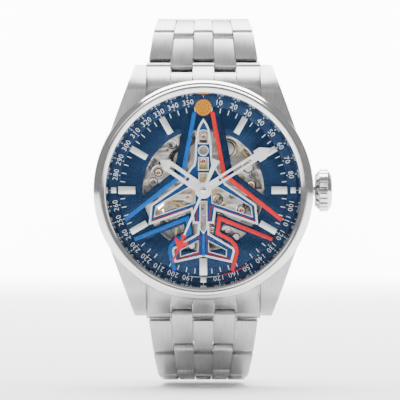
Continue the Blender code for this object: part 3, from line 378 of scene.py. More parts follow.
# The record's slot for each material.
SLOTS = {
    **dict.fromkeys(("dial_blue", "chapter_blue", "plane_navy", "plane_blue", "thin_red", "trail_blue",
                     "trail_red"), "dial_blue"),
    **dict.fromkeys(("white_lacquer", "marker_steel", "print_white", "hand_white"), "white_hand"),
    **dict.fromkeys(("gold_disc", "gold_pit_shade", "balance_gold", "brass", "bridge"), "brass"),
    **dict.fromkeys(("movement_plate", "ruby", "dark_steel_and_shade", "nickel"), "nickel"),
    **dict.fromkeys(("polished_steel", "rehaut_steel_and_dial_reflection", "groove_shade"), "polished_steel"),
    **dict.fromkeys(("lug_steel", "back_steel", "link_steel"), "brushed_steel"),
    **dict.fromkeys(("crystal_glass", "window_glass"), "sapphire"),
    "blued_steel": "blued_spring",
}


# ---------------------------------------------------------------- mesh helpers
def polar(radius, angle, centre=(0.0, 0.0)):
    return (centre[0] + radius * math.cos(angle), centre[1] + radius * math.sin(angle))


def circle(radius, count=48, centre=(0.0, 0.0)):
    return [polar(radius, TAU * i / count, centre) for i in range(count)]


def arc(radius, start, end, count, centre=(0.0, 0.0)):
    step = (end - start) / (count - 1)
    return [polar(radius, start + step * i, centre) for i in range(count)]


def ring_sector(outer, inner, start, end, centre=(0.0, 0.0), count=14):
    return arc(outer, start, end, count, centre) + arc(inner, end, start, count, centre)


def mirror(points):
    return [(-x, y) for x, y in reversed(points)]


def sided(points, side):
    """An outline as drawn on the right (1), or mirrored to the left (-1)."""
    return [(side * x, y) for x, y in points]


def with_lower_half(upper):
    """An outline that is the same on both sides of the X axis."""
    return upper + [(x, -y) for x, y in reversed(upper)]


def offset(points, distance):
    """A closed outline moved inward (positive) by `distance`; the outline runs either way."""
    area = sum(a[0] * b[1] - b[0] * a[1] for a, b in zip(points, points[1:] + points[:1]))
    sign = 1 if area > 0 else -1
    result = []
    count = len(points)
    for index, point in enumerate(points):
        here = Vector(point)
        incoming = (here - Vector(points[index - 1])).normalized()
        outgoing = (Vector(points[(index + 1) % count]) - here).normalized()
        normal_in = Vector((-incoming.y, incoming.x)) * sign
        normal_out = Vector((-outgoing.y, outgoing.x)) * sign
        bisector = (normal_in + normal_out).normalized()
        reach = distance / max(bisector.dot(normal_in), 0.35)
        result.append(tuple(here + bisector * reach))
    return result


def strip(path, width):
    """The outline of a band of constant width along an open path."""
    left, right = [], []
    for index, point in enumerate(path):
        here = Vector(point)
        incoming = (here - Vector(path[max(index - 1, 0)]))
        outgoing = (Vector(path[min(index + 1, len(path) - 1)]) - here)
        incoming = incoming.normalized() if incoming.length else outgoing.normalized()
        outgoing = outgoing.normalized() if outgoing.length else incoming
        tangent = (incoming + outgoing).normalized()
        normal = Vector((-tangent.y, tangent.x))
        reach = width / 2 / max(normal.dot(Vector((-incoming.y, incoming.x))), 0.5)
        left.append(tuple(here + normal * reach))
        right.append(tuple(here - normal * reach))
    return left + right[::-1]


def welded(mesh):
    """The mesh with its seams joined and its faces turned outwards."""
    work = bmesh.new()
    work.from_mesh(mesh)
    bmesh.ops.remove_doubles(work, verts=work.verts, dist=WELD_DISTANCE)
    bmesh.ops.recalc_face_normals(work, faces=work.faces)
    work.to_mesh(mesh)
    work.free()
    return mesh


def evaluated(temporary):
    """The first object's evaluated mesh; the temporary objects are removed."""
    for each in temporary:
        bpy.context.scene.collection.objects.link(each)
    depsgraph = bpy.context.evaluated_depsgraph_get()
    depsgraph.update()
    mesh = bpy.data.meshes.new_from_object(temporary[0].evaluated_get(depsgraph), depsgraph=depsgraph)
    for each in temporary:
        bpy.data.objects.remove(each)
    return mesh


def plate(outline, bottom, top, holes=(), bevel=0.0):
    """A flat outline with holes between two heights, its edges rounded by `bevel`."""
    curve = bpy.data.curves.new("outline", "CURVE")
    curve.dimensions = "2D"
    curve.fill_mode = "BOTH"
    curve.extrude = (top - bottom) / 2 - bevel
    curve.bevel_depth = bevel
    curve.bevel_resolution = 1
    curve.offset = -bevel
    for points in (outline, *holes):
        spline = curve.splines.new("POLY")
        spline.points.add(len(points) - 1)
        for point, (x, y) in zip(spline.points, points):
            point.co = (x, y, 0, 1)
        spline.use_cyclic_u = True
    mesh = evaluated([bpy.data.objects.new("outline", curve)])
    mesh.transform(Matrix.Translation((0, 0, (top + bottom) / 2)))
    return welded(mesh)


def turned(profile, steps=160, closed=True):
    """A profile of (radius, z) points turned about Z."""
    mesh = bpy.data.meshes.new("profile")
    edges = [(i, i + 1) for i in range(len(profile) - 1)]
    if closed:
        edges.append((len(profile) - 1, 0))
    mesh.from_pydata([(radius, 0, z) for radius, z in profile], edges, [])
    obj = bpy.data.objects.new("profile", mesh)
    screw = obj.modifiers.new("turn", "SCREW")
    screw.steps = steps
    screw.render_steps = steps
    screw.use_merge_vertices = True
    screw.merge_threshold = 0.0001
    return welded(evaluated([obj]))


def rod(radius, bottom, top, steps=32, bevel=0.0):
    if not bevel:
        return turned([(0, top), (radius, top), (radius, bottom), (0, bottom)], steps, closed=False)
    profile = [
        (0, top), (radius - bevel, top), (radius, top - bevel), (radius, bottom + bevel),
        (radius - bevel, bottom), (0, bottom),
    ]
    return turned(profile, steps, closed=False)


def box(low, high):
    mesh = bpy.data.meshes.new("box")
    work = bmesh.new()
    bmesh.ops.create_cube(work, size=1.0)
    work.to_mesh(mesh)
    work.free()
    size = [b - a for a, b in zip(low, high)]
    middle = [(a + b) / 2 for a, b in zip(low, high)]
    mesh.transform(Matrix.LocRotScale(Vector(middle), None, Vector(size)))
    return mesh


def modified(mesh, bevel=0.0, tool=None, operation="DIFFERENCE", segments=2, angle=30):
    """A mesh after a Boolean with `tool`, then a Bevel of its sharp edges."""
    target = bpy.data.objects.new("target", mesh)
    temporary = [target]
    if tool is not None:
        cutter = bpy.data.objects.new("cutter", tool)
        temporary.append(cutter)
        boolean = target.modifiers.new("boolean", "BOOLEAN")
        boolean.operation = operation
        boolean.solver = "EXACT"
        boolean.object = cutter
    if bevel:
        rounding = target.modifiers.new("rounding", "BEVEL")
        rounding.width = bevel
        rounding.segments = segments
        rounding.limit_method = "ANGLE"
        rounding.angle_limit = math.radians(angle)
    return evaluated(temporary)


def combined(*meshes):
    """Several meshes as one, each kept as its own loose part."""
    work = bmesh.new()
    for mesh in meshes:
        work.from_mesh(mesh)
    result = bpy.data.meshes.new("combined")
    work.to_mesh(result)
    work.free()
    return result


def moved(mesh, matrix):
    mesh.transform(matrix)
    return mesh


def along_x(mesh, y=0.0, z=0.0):
    return moved(mesh, Matrix.Translation((0, y, z)) @ Matrix.Rotation(math.pi / 2, 4, "Y"))


def extruded_along_x(profile, low, high, bevel=0.0):
    """A (y, z) profile given thickness along X."""
    mesh = plate(profile, low, high, bevel=bevel)
    return moved(mesh, Matrix(((0, 0, 1, 0), (1, 0, 0, 0), (0, 1, 0, 0), (0, 0, 0, 1))))


def add_drawing_uv(mesh):
    """UVs that are the flat drawing coordinates, so that grain follows the piece."""
    layer = mesh.uv_layers.get("drawing") or mesh.uv_layers.new(name="drawing")
    for loop in mesh.loops:
        x, y, _ = mesh.vertices[loop.vertex_index].co
        layer.data[loop.index].uv = (x, y)


def add(name, mesh, material, body="case", matrix=Matrix(), replaces=()):
    """Makes a piece of a drawn mesh, rides it on its body and hides the CAD nodes that it replaces."""
    if not mesh.uv_layers.get("drawing"):
        add_drawing_uv(mesh)
    mesh.transform(UPRIGHT @ matrix)
    mesh.name = name
    mesh.materials.clear()
    mesh.materials.append(MATERIALS[material])
    mesh.shade_smooth()
    mesh.set_sharp_from_angle(angle=SMOOTH_ANGLE)
    piece = bpy.data.objects.new(name, mesh)
    bpy.context.scene.collection.objects.link(piece)
    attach(piece, body)
    if replaces:
        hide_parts(*replaces)
    return piece


# ---------------------------------------------------------------- dial
PLANE_RIGHT = [
    (0, 13.8), (0.62, 12.9), (1.1, 11.9), (1.38, 10.5), (1.57, 9.0), (1.72, 6.0), (1.9, 4.9), (2.5, 4.3),
    (4.3, 1.3), (5.9, 0.2), (10.1, -2.75), (10.5, -6.7), (2.4, -3.85), (2.0, -6.4), (1.1, -6.4), (1.2, -8.25),
    (5.85, -11.0), (6.05, -11.7), (5.45, -13.9), (0, -12.7),
]
PLANE = PLANE_RIGHT + mirror(PLANE_RIGHT[1:-1])
WING_WINDOW = [(1.6, 0.3), (2.8, 0.5), (6.95, -1.85), (9.0, -3.15), (9.3, -5.0), (1.7, -2.4)]
TAIL_WINDOW = [(0.95, -9.7), (4.35, -11.5), (4.3, -12.6), (1.15, -11.7)]
UPPER_TRAIL = [(1.7, 14.9), (3.97, 2.96), (15.0, -5.7)]
LOWER_TRAIL = [
    (13.2, -9.4), (3.05, -5.35), (2.7, -8.2), (5.2, -9.5), (6.2, -10.7), (6.4, -11.7), (5.5, -15.4),
]
LOWER_SKIRT = [
    (2.6, -7.9), (3.3, -8.1), (5.4, -9.1), (7.2, -9.9), (9.6, -9.2), (12.6, -9.4), (9.0, -13.2), (5.2, -15.2),
    (5.9, -12.0), (5.6, -10.9),
]
KEEL_WINDOW = [(0.57, -2.2), (-0.57, -2.2), (-0.57, -7.3), (0, -8.1), (0.57, -7.3)]
PLATE_Z = (DIAL_BOTTOM + 0.02, DIAL_TOP)
BAR_HOURS = (1, 2, 3, 4, 6, 8, 9, 10, 11)


def rounded_window(half_x, half_y, y):
    return [
        (half_x, y + half_y), (-half_x, y + half_y), (-half_x, y - half_y), (half_x, y - half_y),
    ]


FUSELAGE_WINDOWS = [
    [(0.6, 11.3), (0.0, 11.45), (-0.6, 11.3), (-0.87, 11.1), (-0.87, 9.0), (0.87, 9.0), (0.87, 11.1)],
    circle(0.85, 28, (0, 7.56)),
    rounded_window(0.85, 1.1, 5.06),
    rounded_window(0.78, 0.85, 2.35),
]


def make_dial_ring():
    """The blue dial with its round opening, and the sloping chapter ring outside it."""
    bottom, top = PLATE_Z
    outer, edge = 18.05, 18.0
    ring = plate(circle(CHAPTER_STEP, 180), bottom, top, [circle(INNER_RING, 140)], 0.04)
    add("dial_ring", ring, "dial_blue", replaces=("dial",))
    chapter = turned([
        (CHAPTER_STEP + 0.02, top + 0.05), (CHAPTER_STEP + 0.1, top + 0.1), (edge, top + 0.14),
        (outer, top), (outer, bottom), (CHAPTER_STEP + 0.02, bottom),
    ], 180)
    add("chapter_ring", chapter, "chapter_blue")


def make_plane():
    """The aircraft: a navy base, a white outline, a blue fill and framed windows."""
    windows = [WING_WINDOW, mirror(WING_WINDOW), TAIL_WINDOW, mirror(TAIL_WINDOW), KEEL_WINDOW]
    windows += FUSELAGE_WINDOWS + [circle(1.15, 32)]
    low, high = PLATE_Z
    add("plane_base", plate(PLANE, low, high, windows, 0.03), "plane_navy")
    outline = plate(offset(PLANE, 0.02), high - 0.01, high + 0.1, [offset(PLANE, 0.42)], 0.03)
    add("plane_outline", outline, "white_lacquer")
    inner = offset(PLANE, 0.5)
    fill_windows = [offset(window, -0.12) for window in windows[:-1]] + [circle(1.2, 32)]
    fill = plate(inner, high - 0.01, high + 0.04, fill_windows)
    add("plane_fill", fill, "plane_blue")
    frames = []
    for window in FUSELAGE_WINDOWS + [KEEL_WINDOW]:
        frames.append(plate(offset(window, -0.17), low + 0.05, high + 0.12, [offset(window, 0.02)], 0.02))
    add("fuselage_window_frames", combined(*frames), "marker_steel")
    thin = []
    for side in (1, -1):
        for window in (WING_WINDOW, TAIL_WINDOW):
            points = sided(window, side)
            thin.append(plate(offset(points, -0.14), high - 0.01, high + 0.07, [offset(points, 0.0)]))
    add("cutout_edges", combined(*thin), "white_lacquer")
    red = []
    wing_line = [(1.15, -6.0), (1.3, -3.1), (10.0, -5.85)]
    tail_line = [(0.75, -8.4), (0.85, -12.1), (4.9, -13.1)]
    for side in (1, -1):
        for path in (wing_line, tail_line):
            points = sided(path, side)
            red.append(plate(strip(points, 0.26), high + 0.02, high + 0.08))
    add("plane_red_lines", combined(*red), "thin_red")
    spine = plate(strip([(0, -8.5), (0, -12.6)], 0.5), high + 0.02, high + 0.1)
    add("plane_spine", spine, "trail_blue")


def make_trails():
    """Smoke trails: navy strips with a raised blue (left) or red (right) line on each."""
    low, high = PLATE_Z
    for side, material, label in ((-1, "trail_blue", "left"), (1, "trail_red", "right")):
        upper = sided(UPPER_TRAIL, side)
        lower = sided(LOWER_TRAIL, side)
        border = [(side * (x + 0.75), y + 0.15) for x, y in UPPER_TRAIL]
        strips = [
            plate(strip(border, 1.9), low, high + 0.012, bevel=0.02),
            plate(strip(lower, 1.5), low, high + 0.014, bevel=0.02),
            plate(sided(LOWER_SKIRT, side), low, high + 0.016, bevel=0.02),
        ]
        add(f"trail_bridges_{label}", combined(*strips), "dial_blue")
        lines = [
            plate(strip(upper, 0.8), high - 0.01, high + 0.14, bevel=0.04),
            plate(strip(lower, 0.75), high - 0.01, high + 0.14, bevel=0.04),
        ]
        add(f"trail_lines_{label}", combined(*lines), material)


def on_dial(mesh, angle, radius=0.0):
    """Turns a mesh drawn on +X so that +X points to a clock angle."""
    turn = Matrix.Rotation(math.pi / 2 - angle, 4, "Z")
    return moved(mesh, turn @ Matrix.Translation((radius, 0, 0)))


def rectangle(low, high, half_width):
    """An outline along +X between two distances."""
    return [(low, -half_width), (high, -half_width), (high, half_width), (low, half_width)]


def make_markers():
    """Applied hour bars, longer at the quarters, and a small square outside each quarter but 12."""
    face = DIAL_TOP + 0.34
    bars, squares = [], []
    for hour in BAR_HOURS:
        angle = TAU * hour / 12
        quarter = hour % 3 == 0
        low, width = (13.0, 1.45) if quarter else (12.5, 1.2)
        high = 16.25 if quarter and hour != 3 else 16.0
        bar = plate(rectangle(low, high, width / 2), DIAL_TOP - 0.05, face, bevel=0.09)
        bars.append(on_dial(bar, angle))
        if quarter:
            square = plate(rectangle(16.65, 17.65, 0.55), DIAL_TOP + 0.08, face, bevel=0.07)
            squares.append(on_dial(square, angle))
    add("hour_bars", combined(*bars), "marker_steel")
    add("quarter_squares", combined(*squares), "marker_steel")


def text_mesh(body, height):
    """A figure of about this height, thick enough to stand a little above the dial."""
    curve = bpy.data.curves.new("figure", "FONT")
    curve.body = body
    curve.size = height * 1.28
    curve.align_x = "CENTER"
    curve.align_y = "CENTER"
    curve.extrude = 0.012
    curve.offset = -0.012
    curve.resolution_u = 3
    curve.space_character = 1.08
    return evaluated([bpy.data.objects.new("figure", curve)])


def make_printing():
    """Minute track, figures every ten degrees with a dot below each, and outer ticks."""
    top = DIAL_TOP
    ticks, figures, outer = [], [], []
    for minute in range(60):
        if minute % 5 == 0:
            continue
        tick = box((15.05, -0.07, top - 0.01), (15.95, 0.07, top + 0.02))
        ticks.append(on_dial(tick, TAU * minute / 60))
    for degrees in range(0, 360, 10):
        angle = math.radians(degrees)
        outer.append(on_dial(box((17.75, -0.06, top + 0.12), (18.02, 0.06, top + 0.155)), angle))
        if degrees % 90 == 0:
            continue
        figure = text_mesh(str(degrees), 1.08)
        place = Matrix.Rotation(-angle, 4, "Z") @ Matrix.Translation((0, 16.95, top + 0.135))
        figures.append(moved(figure, place))
        figures.append(on_dial(rod(0.1, top + 0.06, top + 0.135, 12), angle, 16.22))
    add("minute_ticks", combined(*ticks), "print_white")
    add("figures", combined(*figures), "print_white")
    add("outer_ticks", combined(*outer), "print_white")
    for label, outer, inner, degrees, material in (
        ("white", 16.66, 16.58, (261, 280), "print_white"),
        ("red", 16.68, 16.56, (281, 300), "trail_red"),
    ):
        start, end = (math.radians(angle) for angle in degrees)
        line = plate(ring_sector(outer, inner, start, end, count=12), top + 0.1, top + 0.15)
        add(f"lower_arc_{label}", line, material)


def make_gold_disc():
    """A plain gold disc at 12 with a raised rim and rows of pits, drawn as flat dots of darker gold whose
    colour is painted shade.
    """
    profile = [(0, 0.26), (1.3, 0.26), (1.38, 0.34), (1.52, 0.34), (1.6, 0.24), (1.6, 0.0), (0, 0.0)]
    place = Matrix.Translation((*DISC_CENTRE, DIAL_TOP - 0.02))
    add("gold_disc", moved(turned(profile, 64, closed=False), place), "gold_disc")
    pits = []
    # Painted shade: each pit is a flat dot of darker gold flush with the disc's face, not a hollow.
    for ring, count in ((0.0, 1), (0.52, 6), (1.02, 11)):
        for index in range(count):
            pit = rod(0.11, DIAL_TOP + 0.23, DIAL_TOP + 0.25, 10)
            pits.append(at(pit, polar(ring, TAU * index / count + 0.3, DISC_CENTRE)))
    add("gold_disc_pit_shade", combined(*pits), "gold_pit_shade")


# ---------------------------------------------------------------- movement seen through the dial
def gear(teeth, outer, depth, phase=0.0):
    """Square-shouldered teeth between an outer and a root radius."""
    points = []
    for tooth in range(teeth):
        for share, radius in ((-0.22, outer - depth), (-0.12, outer), (0.12, outer), (0.22, outer - depth)):
            points.append(polar(radius, phase + TAU * (tooth + share) / teeth))
    return points


def spoke_windows(spokes, inner, outer, half_width, phase=0.0):
    """The openings between straight spokes."""
    windows = []
    for spoke in range(spokes):
        start = phase + TAU * spoke / spokes
        end = start + TAU / spokes
        outer_margin = math.asin(half_width / outer)
        inner_margin = math.asin(half_width / inner)
        windows.append(
            arc(outer, start + outer_margin, end - outer_margin, 14)
            + arc(inner, end - inner_margin, start + inner_margin, 6)
        )
    return windows


def at(mesh, centre, z=0.0):
    return moved(mesh, Matrix.Translation((centre[0], centre[1], z)))


def jewel(centre, top, radius=0.5):
    """A ruby with a steel chaton round it, as two meshes."""
    setting = turned([
        (radius * 0.72, top + 0.02), (radius, top + 0.06), (radius, top - 0.2), (radius * 0.72, top - 0.2),
    ], 32)
    stone = turned([
        (radius * 0.2, top - 0.1), (radius * 0.34, top), (radius * 0.62, top + 0.01),
        (radius * 0.7, top - 0.05), (radius * 0.7, top - 0.25), (radius * 0.2, top - 0.25),
    ], 28)
    return at(setting, centre), at(stone, centre)


def screw_head(centre, top, radius=0.55, turn=0.4):
    """A polished screw head with its slot."""
    head = rod(radius, top - 0.18, top + 0.12, 28, 0.05)
    slot = box((-radius * 1.2, -radius * 0.16, top + 0.03), (radius * 1.2, radius * 0.16, top + 0.3))
    slot.transform(Matrix.Rotation(turn, 4, "Z"))
    return at(modified(head, tool=slot), centre)


PLATE_WINDOWS = [
    circle(0.62, 24),
    ring_sector(11.3, 9.3, 1.72, 2.0),
    ring_sector(3.5, 2.5, 1.95, 3.35, GEAR_PLATE_CENTRE, 18),
    circle(0.62, 20, (-5.95, 8.75)), circle(0.26, 14, (-6.85, 7.75)),
    ring_sector(2.05, 1.66, -0.75, 1.75, (4.6, 7.9), 18),
    ring_sector(11.2, 9.9, 0.02, 0.22), ring_sector(11.3, 10.2, 0.62, 0.8),
    circle(0.75, 24, (2.75, -1.7)), circle(0.42, 16, (5.6, -1.0)),
    ring_sector(11.3, 8.0, 5.85, 6.15),
    ring_sector(11.5, 8.9, 3.05, 3.35), ring_sector(11.4, 10.4, 2.55, 2.78),
    circle(0.5, 18, (-9.6, 1.5)), circle(0.35, 14, (-8.3, 5.2)),
    circle(2.9, 40, BALANCE),
    ring_sector(4.8, 3.35, 0.85, 2.75, BALANCE, 24),
    ring_sector(11.3, 8.6, 4.75, 5.35), circle(1.2, 28, (2.7, -5.6)),
    ring_sector(9.6, 7.2, 5.45, 5.66), circle(0.6, 18, (9.6, 3.0)), circle(0.45, 16, (7.2, 2.4)),
    rounded_window(0.6, 0.35, 9.3), rounded_window(0.6, 0.45, 4.6), rounded_window(0.4, 1.6, -4.2),
]
# Painted shade: near-black rings laid on the plate's face where the recesses round openings, jewels and
# screws fall into shade; no groove is cut.
GROOVE_SHADE_RINGS = (
    (-5.95, 8.75, 0.95, 0.2), (-7.9, 5.0, 0.62, 0.14), (-9.6, 1.6, 0.95, 0.18), (-10.2, 5.0, 0.7, 0.14),
    (4.6, 7.9, 1.35, 0.1), (8.6, 4.4, 1.05, 0.16), (9.6, 3.0, 0.9, 0.16), (7.2, 2.4, 0.7, 0.12),
    (2.75, -1.7, 1.05, 0.2), (5.6, -1.0, 0.72, 0.16), (7.3, -3.8, 0.9, 0.2), (8.3, -2.4, 0.78, 0.16),
    (9.1, 1.0, 0.95, 0.18), (2.7, -5.6, 1.5, 0.2), (-8.6, 3.4, 0.85, 0.16), (-2.2, -10.6, 0.85, 0.16),
    (6.2, -9.0, 0.9, 0.18), (-9.9, -0.9, 0.85, 0.16), (-2.6, 9.4, 0.9, 0.18), (1.7, -7.5, 0.7, 0.14),
)  # x, y, outer radius, width
RIMS = (((4.5, 7.9), 1.55), ((2.75, -1.7), 0.95), ((7.3, -3.8), 1.15), (BALANCE, 3.15), ((8.6, 4.4), 1.2),
        ((-5.95, 8.75), 0.85), ((-8.6, 3.4), 1.4))
DIAL_JEWELS = ((4.0, -2.7, 0.45), (7.3, -3.8, 0.5), (9.1, 1.0, 0.62), (0.0, 5.6, 0.5), (0.1, 10.3, 0.4),
               (-8.6, 3.4, 0.5), (1.7, -7.5, 0.45), (-3.0, -1.2, 0.4))
DIAL_SCREWS = ((-7.6, 6.0, 0.62), (8.6, 4.4, 0.7), (-9.9, -0.9, 0.6), (6.2, -9.0, 0.6), (-2.2, -10.6, 0.55),
               (4.9, 5.2, 0.5), (-6.4, 9.6, 0.35))


def make_movement_front():
    """The main plate with its cut-outs, polished rims, near-black rings of painted groove shade, jewels and
    screws, and the wheels under it.
    """
    top = PLATE_TOP
    body = plate(circle(13.1, 120), PLATE_BOTTOM, top, PLATE_WINDOWS, 0.06)
    add("main_plate_openwork", body, "movement_plate", replaces=("main_plate",))
    rims = []
    for centre, radius in RIMS:
        inner = radius - 0.16
        profile = [(inner, top + 0.02), (radius - 0.03, top + 0.1), (radius, top - 0.05), (inner, top - 0.05)]
        rims.append(at(turned(profile, 48), centre))
    add("plate_rims", combined(*rims), "polished_steel")
    settings, stones = [], []
    for x, y, radius in DIAL_JEWELS:
        setting, stone = jewel((x, y), top + 0.06, radius)
        settings.append(setting)
        stones.append(stone)
    add("jewel_settings", combined(*settings), "balance_gold")
    add("jewels", combined(*stones), "ruby")
    # Painted shade: each ring is a near-black band standing a little proud of the plate, in place of a cut
    # groove.
    groove_shade = []
    for x, y, outer, width in GROOVE_SHADE_RINGS:
        inner = outer - width
        profile = [(outer, top + 0.03), (outer, top - 0.1), (inner, top - 0.1), (inner, top + 0.03)]
        groove_shade.append(at(turned(profile, 40), (x, y)))
    add("plate_groove_shade", combined(*groove_shade), "dark_steel_and_shade")
    heads = [screw_head((x, y), top + 0.02, radius, 0.7 * x + y) for x, y, radius in DIAL_SCREWS]
    add("plate_screws", combined(*heads), "marker_steel")
    ring = turned([(13.25, 7.5), (19.0, 7.5), (19.0, 2.4), (13.25, 2.4)], 120)
    add("movement_holder", ring, "nickel", replaces=("movement_ring",))
    toothed = plate(gear(44, 3.45, 0.3), 5.05, 5.35, [circle(2.4, 40)])
    add("calendar_plate_gear", at(toothed, GEAR_PLATE_CENTRE), "dark_steel_and_shade")


def make_wheel(name, centre, body, teeth, outer, depth, z, thickness, spokes, material, nodes):
    """A toothed wheel with spokes, a hub and an arbor."""
    windows = spoke_windows(spokes, outer * 0.22, outer * 0.8, outer * 0.055)
    wheel = plate(gear(teeth, outer, depth), z, z + thickness, windows, 0.015)
    hub = rod(outer * 0.16, z - 0.12, z + thickness + 0.12, 24, 0.03)
    arbor = rod(0.14, ARBOR_BOTTOM, 5.9, 16)
    add(name, at(combined(wheel, hub, arbor), centre), material, body, replaces=nodes)


def make_train():
    """The third wheel with fine teeth, the balance with its rim weights, and the hairspring."""
    make_wheel("third_wheel_fine", THIRD, "third", 60, 3.25, 0.22, 3.7, 0.15, 5, "brass", ("third_wheel",))
    rim = turned([
        (4.4, 3.97), (4.4, 4.33), (4.34, 4.38), (3.95, 4.38), (3.9, 4.33), (3.9, 3.97),
    ], 120)
    arms = plate(circle(0.55, 24), 4.05, 4.25)
    staff = rod(0.15, ARBOR_BOTTOM, 5.95, 16)
    parts = [rim, arms, staff, rod(0.34, 4.5, 4.85, 24, 0.04), rod(0.3, 3.75, 4.6, 20)]
    for spoke in range(3):
        arm = box((0.3, -0.22, 4.05), (4.0, 0.22, 4.25))
        arm.transform(Matrix.Rotation(TAU * spoke / 3 + 0.5, 4, "Z"))
        parts.append(arm)
    for index in range(12):
        weight = rod(0.16, 4.3, 4.39, 12, 0.02)
        parts.append(at(weight, polar(4.15, TAU * index / 12)))
    balance = at(combined(*parts), BALANCE)
    add("balance_wheel_fine", balance, "balance_gold", "balance", replaces=("balance_wheel",))
    turns, per_turn = 9, 36
    count = turns * per_turn
    path = [polar(0.42 + 2.05 * i / count, TAU * i / per_turn) for i in range(count + 1)]
    coil = plate(strip(path, 0.05), 3.43, 3.55)
    add("hairspring_fine", at(coil, BALANCE), "blued_steel", replaces=("hairspring",))


# ---------------------------------------------------------------- hands
def hand_outline(length, head_width, head_start, shaft_width, hub):
    """An arrow head, a straight shaft and a round hub, pointing along +X."""
    half_head, half_shaft = head_width / 2, shaft_width / 2
    half = [(length - head_width * 0.69, half_head), (head_start, half_head), (head_start, half_shaft)]
    start_angle = math.asin(half_shaft / hub)
    rounding = arc(hub, start_angle, TAU - start_angle, 40)
    return [(length, 0)] + half + rounding + [(x, -y) for x, y in reversed(half)]


def make_hands():
    """Hour and minute hands with a slot, the seconds hand with its red aircraft, and their hub."""
    for name, angle, sizes, (start, end, width), bottom in (
        ("hour", HOUR_ANGLE, (10.2, 2.6, 8.4, 2.1, 1.62), (3.4, 7.7, 0.62), HOUR_HAND_Z),
        ("minute", MINUTE_ANGLE, (15.1, 2.5, 12.0, 1.5, 1.5), (3.5, 10.8, 0.5), MINUTE_HAND_Z),
    ):
        slot = [(start, width / 2), (start, -width / 2), (end, -width / 2), (end, width / 2)]
        mesh = plate(hand_outline(*sizes), bottom, bottom + 0.2, [slot, circle(HUB_HOLE, 32)], 0.09)
        add(f"{name}_hand_fine", on_dial(mesh, angle), "hand_white", name, replaces=(f"{name}_hand",))
    white = [(9.3, 0.17), (0.5, 0.24)]
    tail = [(-0.5, 0.24), (-4.6, 0.42), (-6.3, 0.75)]
    upper = white + arc(HUB_HOLE, math.radians(24), math.radians(156), 12) + tail
    outline = with_lower_half(upper)
    seconds = plate(outline, SECONDS_HAND_Z, 9.44, bevel=0.03)
    add("seconds_hand_fine", on_dial(seconds, SECONDS_ANGLE), "hand_white", "seconds",
        replaces=("seconds_hand",))
    jet = [(15.1, 0), (14.5, 0.16), (12.2, 0.26), (10.7, 1.4), (10.25, 1.4), (10.75, 0.3), (9.9, 0.24),
           (9.45, 0.55), (9.25, 0.55), (9.3, 0.15)]
    outline = jet + [(x, -y) for x, y in reversed(jet[1:])]
    add("seconds_jet", on_dial(plate(outline, 9.29, 9.45, bevel=0.03), SECONDS_ANGLE), "trail_red", "seconds")
    cap = turned([(0, 9.62), (0.4, 9.6), (0.55, 9.5), (0.55, 9.42), (0, 9.42)], 40, closed=False)
    add("hand_cap", cap, "polished_steel", "seconds")
    profile = [(0, 9.2), (1.2, 9.18), (1.42, 9.12), (1.42, 9.08), (0.6, 9.08), (0, 9.08)]
    add("hub_boss", turned(profile, 48, closed=False), "hand_white", "minute")


# ---------------------------------------------------------------- case
def lug_plan():
    """The case from the front: a circle with four lugs, built from one quarter."""
    root_angle = math.atan2(LUG_ROOT[1], LUG_ROOT[0])
    inner_x = LUG_WIDTH / 2
    inner_angle = math.acos(inner_x / CASE_RADIUS)
    quarter = arc(CASE_RADIUS, 0, root_angle, 20)
    quarter += [(LUG_TIP_X, LUG_TIP_Y), (inner_x, LUG_TIP_Y)]
    quarter += arc(CASE_RADIUS, inner_angle, math.pi / 2, 24)
    upper = quarter + mirror(quarter[1:-1])
    return upper + [(-x, -y) for x, y in upper]


def make_case():
    """Case with sloping lugs, stepped bezel, inner flange and domed crystal."""
    side = [
        (18.5, CASE_TOP), (19.6, 9.2), (20.6, 8.6), (21.7, 7.7), (22.6, 6.7), (23.4, 5.5), (LUG_TIP_Y, 4.3),
        (LUG_TIP_Y, 2.4), (23.2, 1.2), (21.5, 1.0), (19.8, CASE_BOTTOM),
    ]
    profile = side + mirror(side)
    blank = plate(lug_plan(), 0.5, 10.0)
    body = modified(blank, tool=extruded_along_x(profile, -22, 22), operation="INTERSECT")
    body = modified(body, tool=rod(19.1, 0, 12, 180))
    body = modified(body, bevel=0.28, tool=along_x(rod(1.05, 17, 23, 32), z=STEM_Z), segments=2, angle=40)
    case = add("case_body", body, "lug_steel", replaces=("case_middle",))
    case.data.materials.append(MATERIALS["polished_steel"])
    for polygon in case.data.polygons:
        outward = abs(polygon.normal.z) + abs(polygon.normal.x)
        if polygon.area < 0.6e-6 and 0.25 < abs(polygon.normal.y) < 0.93 and outward > 0.35:
            polygon.material_index = 1
    bezel = [
        (18.8, 11.28), (18.66, 11.42), (18.66, 11.5), (18.9, 11.66), (19.3, 11.78), (19.65, 11.8),
        (19.9, 11.72), (20.02, 11.5), (20.08, 11.42), (20.35, 11.3), (20.7, 11.0), (20.92, 10.6),
        (BEZEL_RADIUS, 10.2),
        (BEZEL_RADIUS, 9.9), (20.9, 9.62), (18.8, 9.62),
    ]
    add("bezel_fine", turned(bezel, 256), "polished_steel", replaces=("bezel",))
    flange = [(18.62, 9.55), (19.0, 9.5), (19.0, 8.2), (18.04, 8.2), (18.04, 8.3), (18.1, 8.6)]
    add("rehaut", turned(flange, 200), "rehaut_steel_and_dial_reflection", replaces=("inner_flange",))
    crystal = [
        (0, 12.12), (6, 12.1), (12, 12.03), (17.6, 11.88), (18.3, 11.6), (18.6, 11.3), (18.6, 9.98),
        (0, 9.98),
    ]
    add("crystal_fine", turned(crystal, 160, closed=False), "crystal_glass",
        replaces=("crystal",))


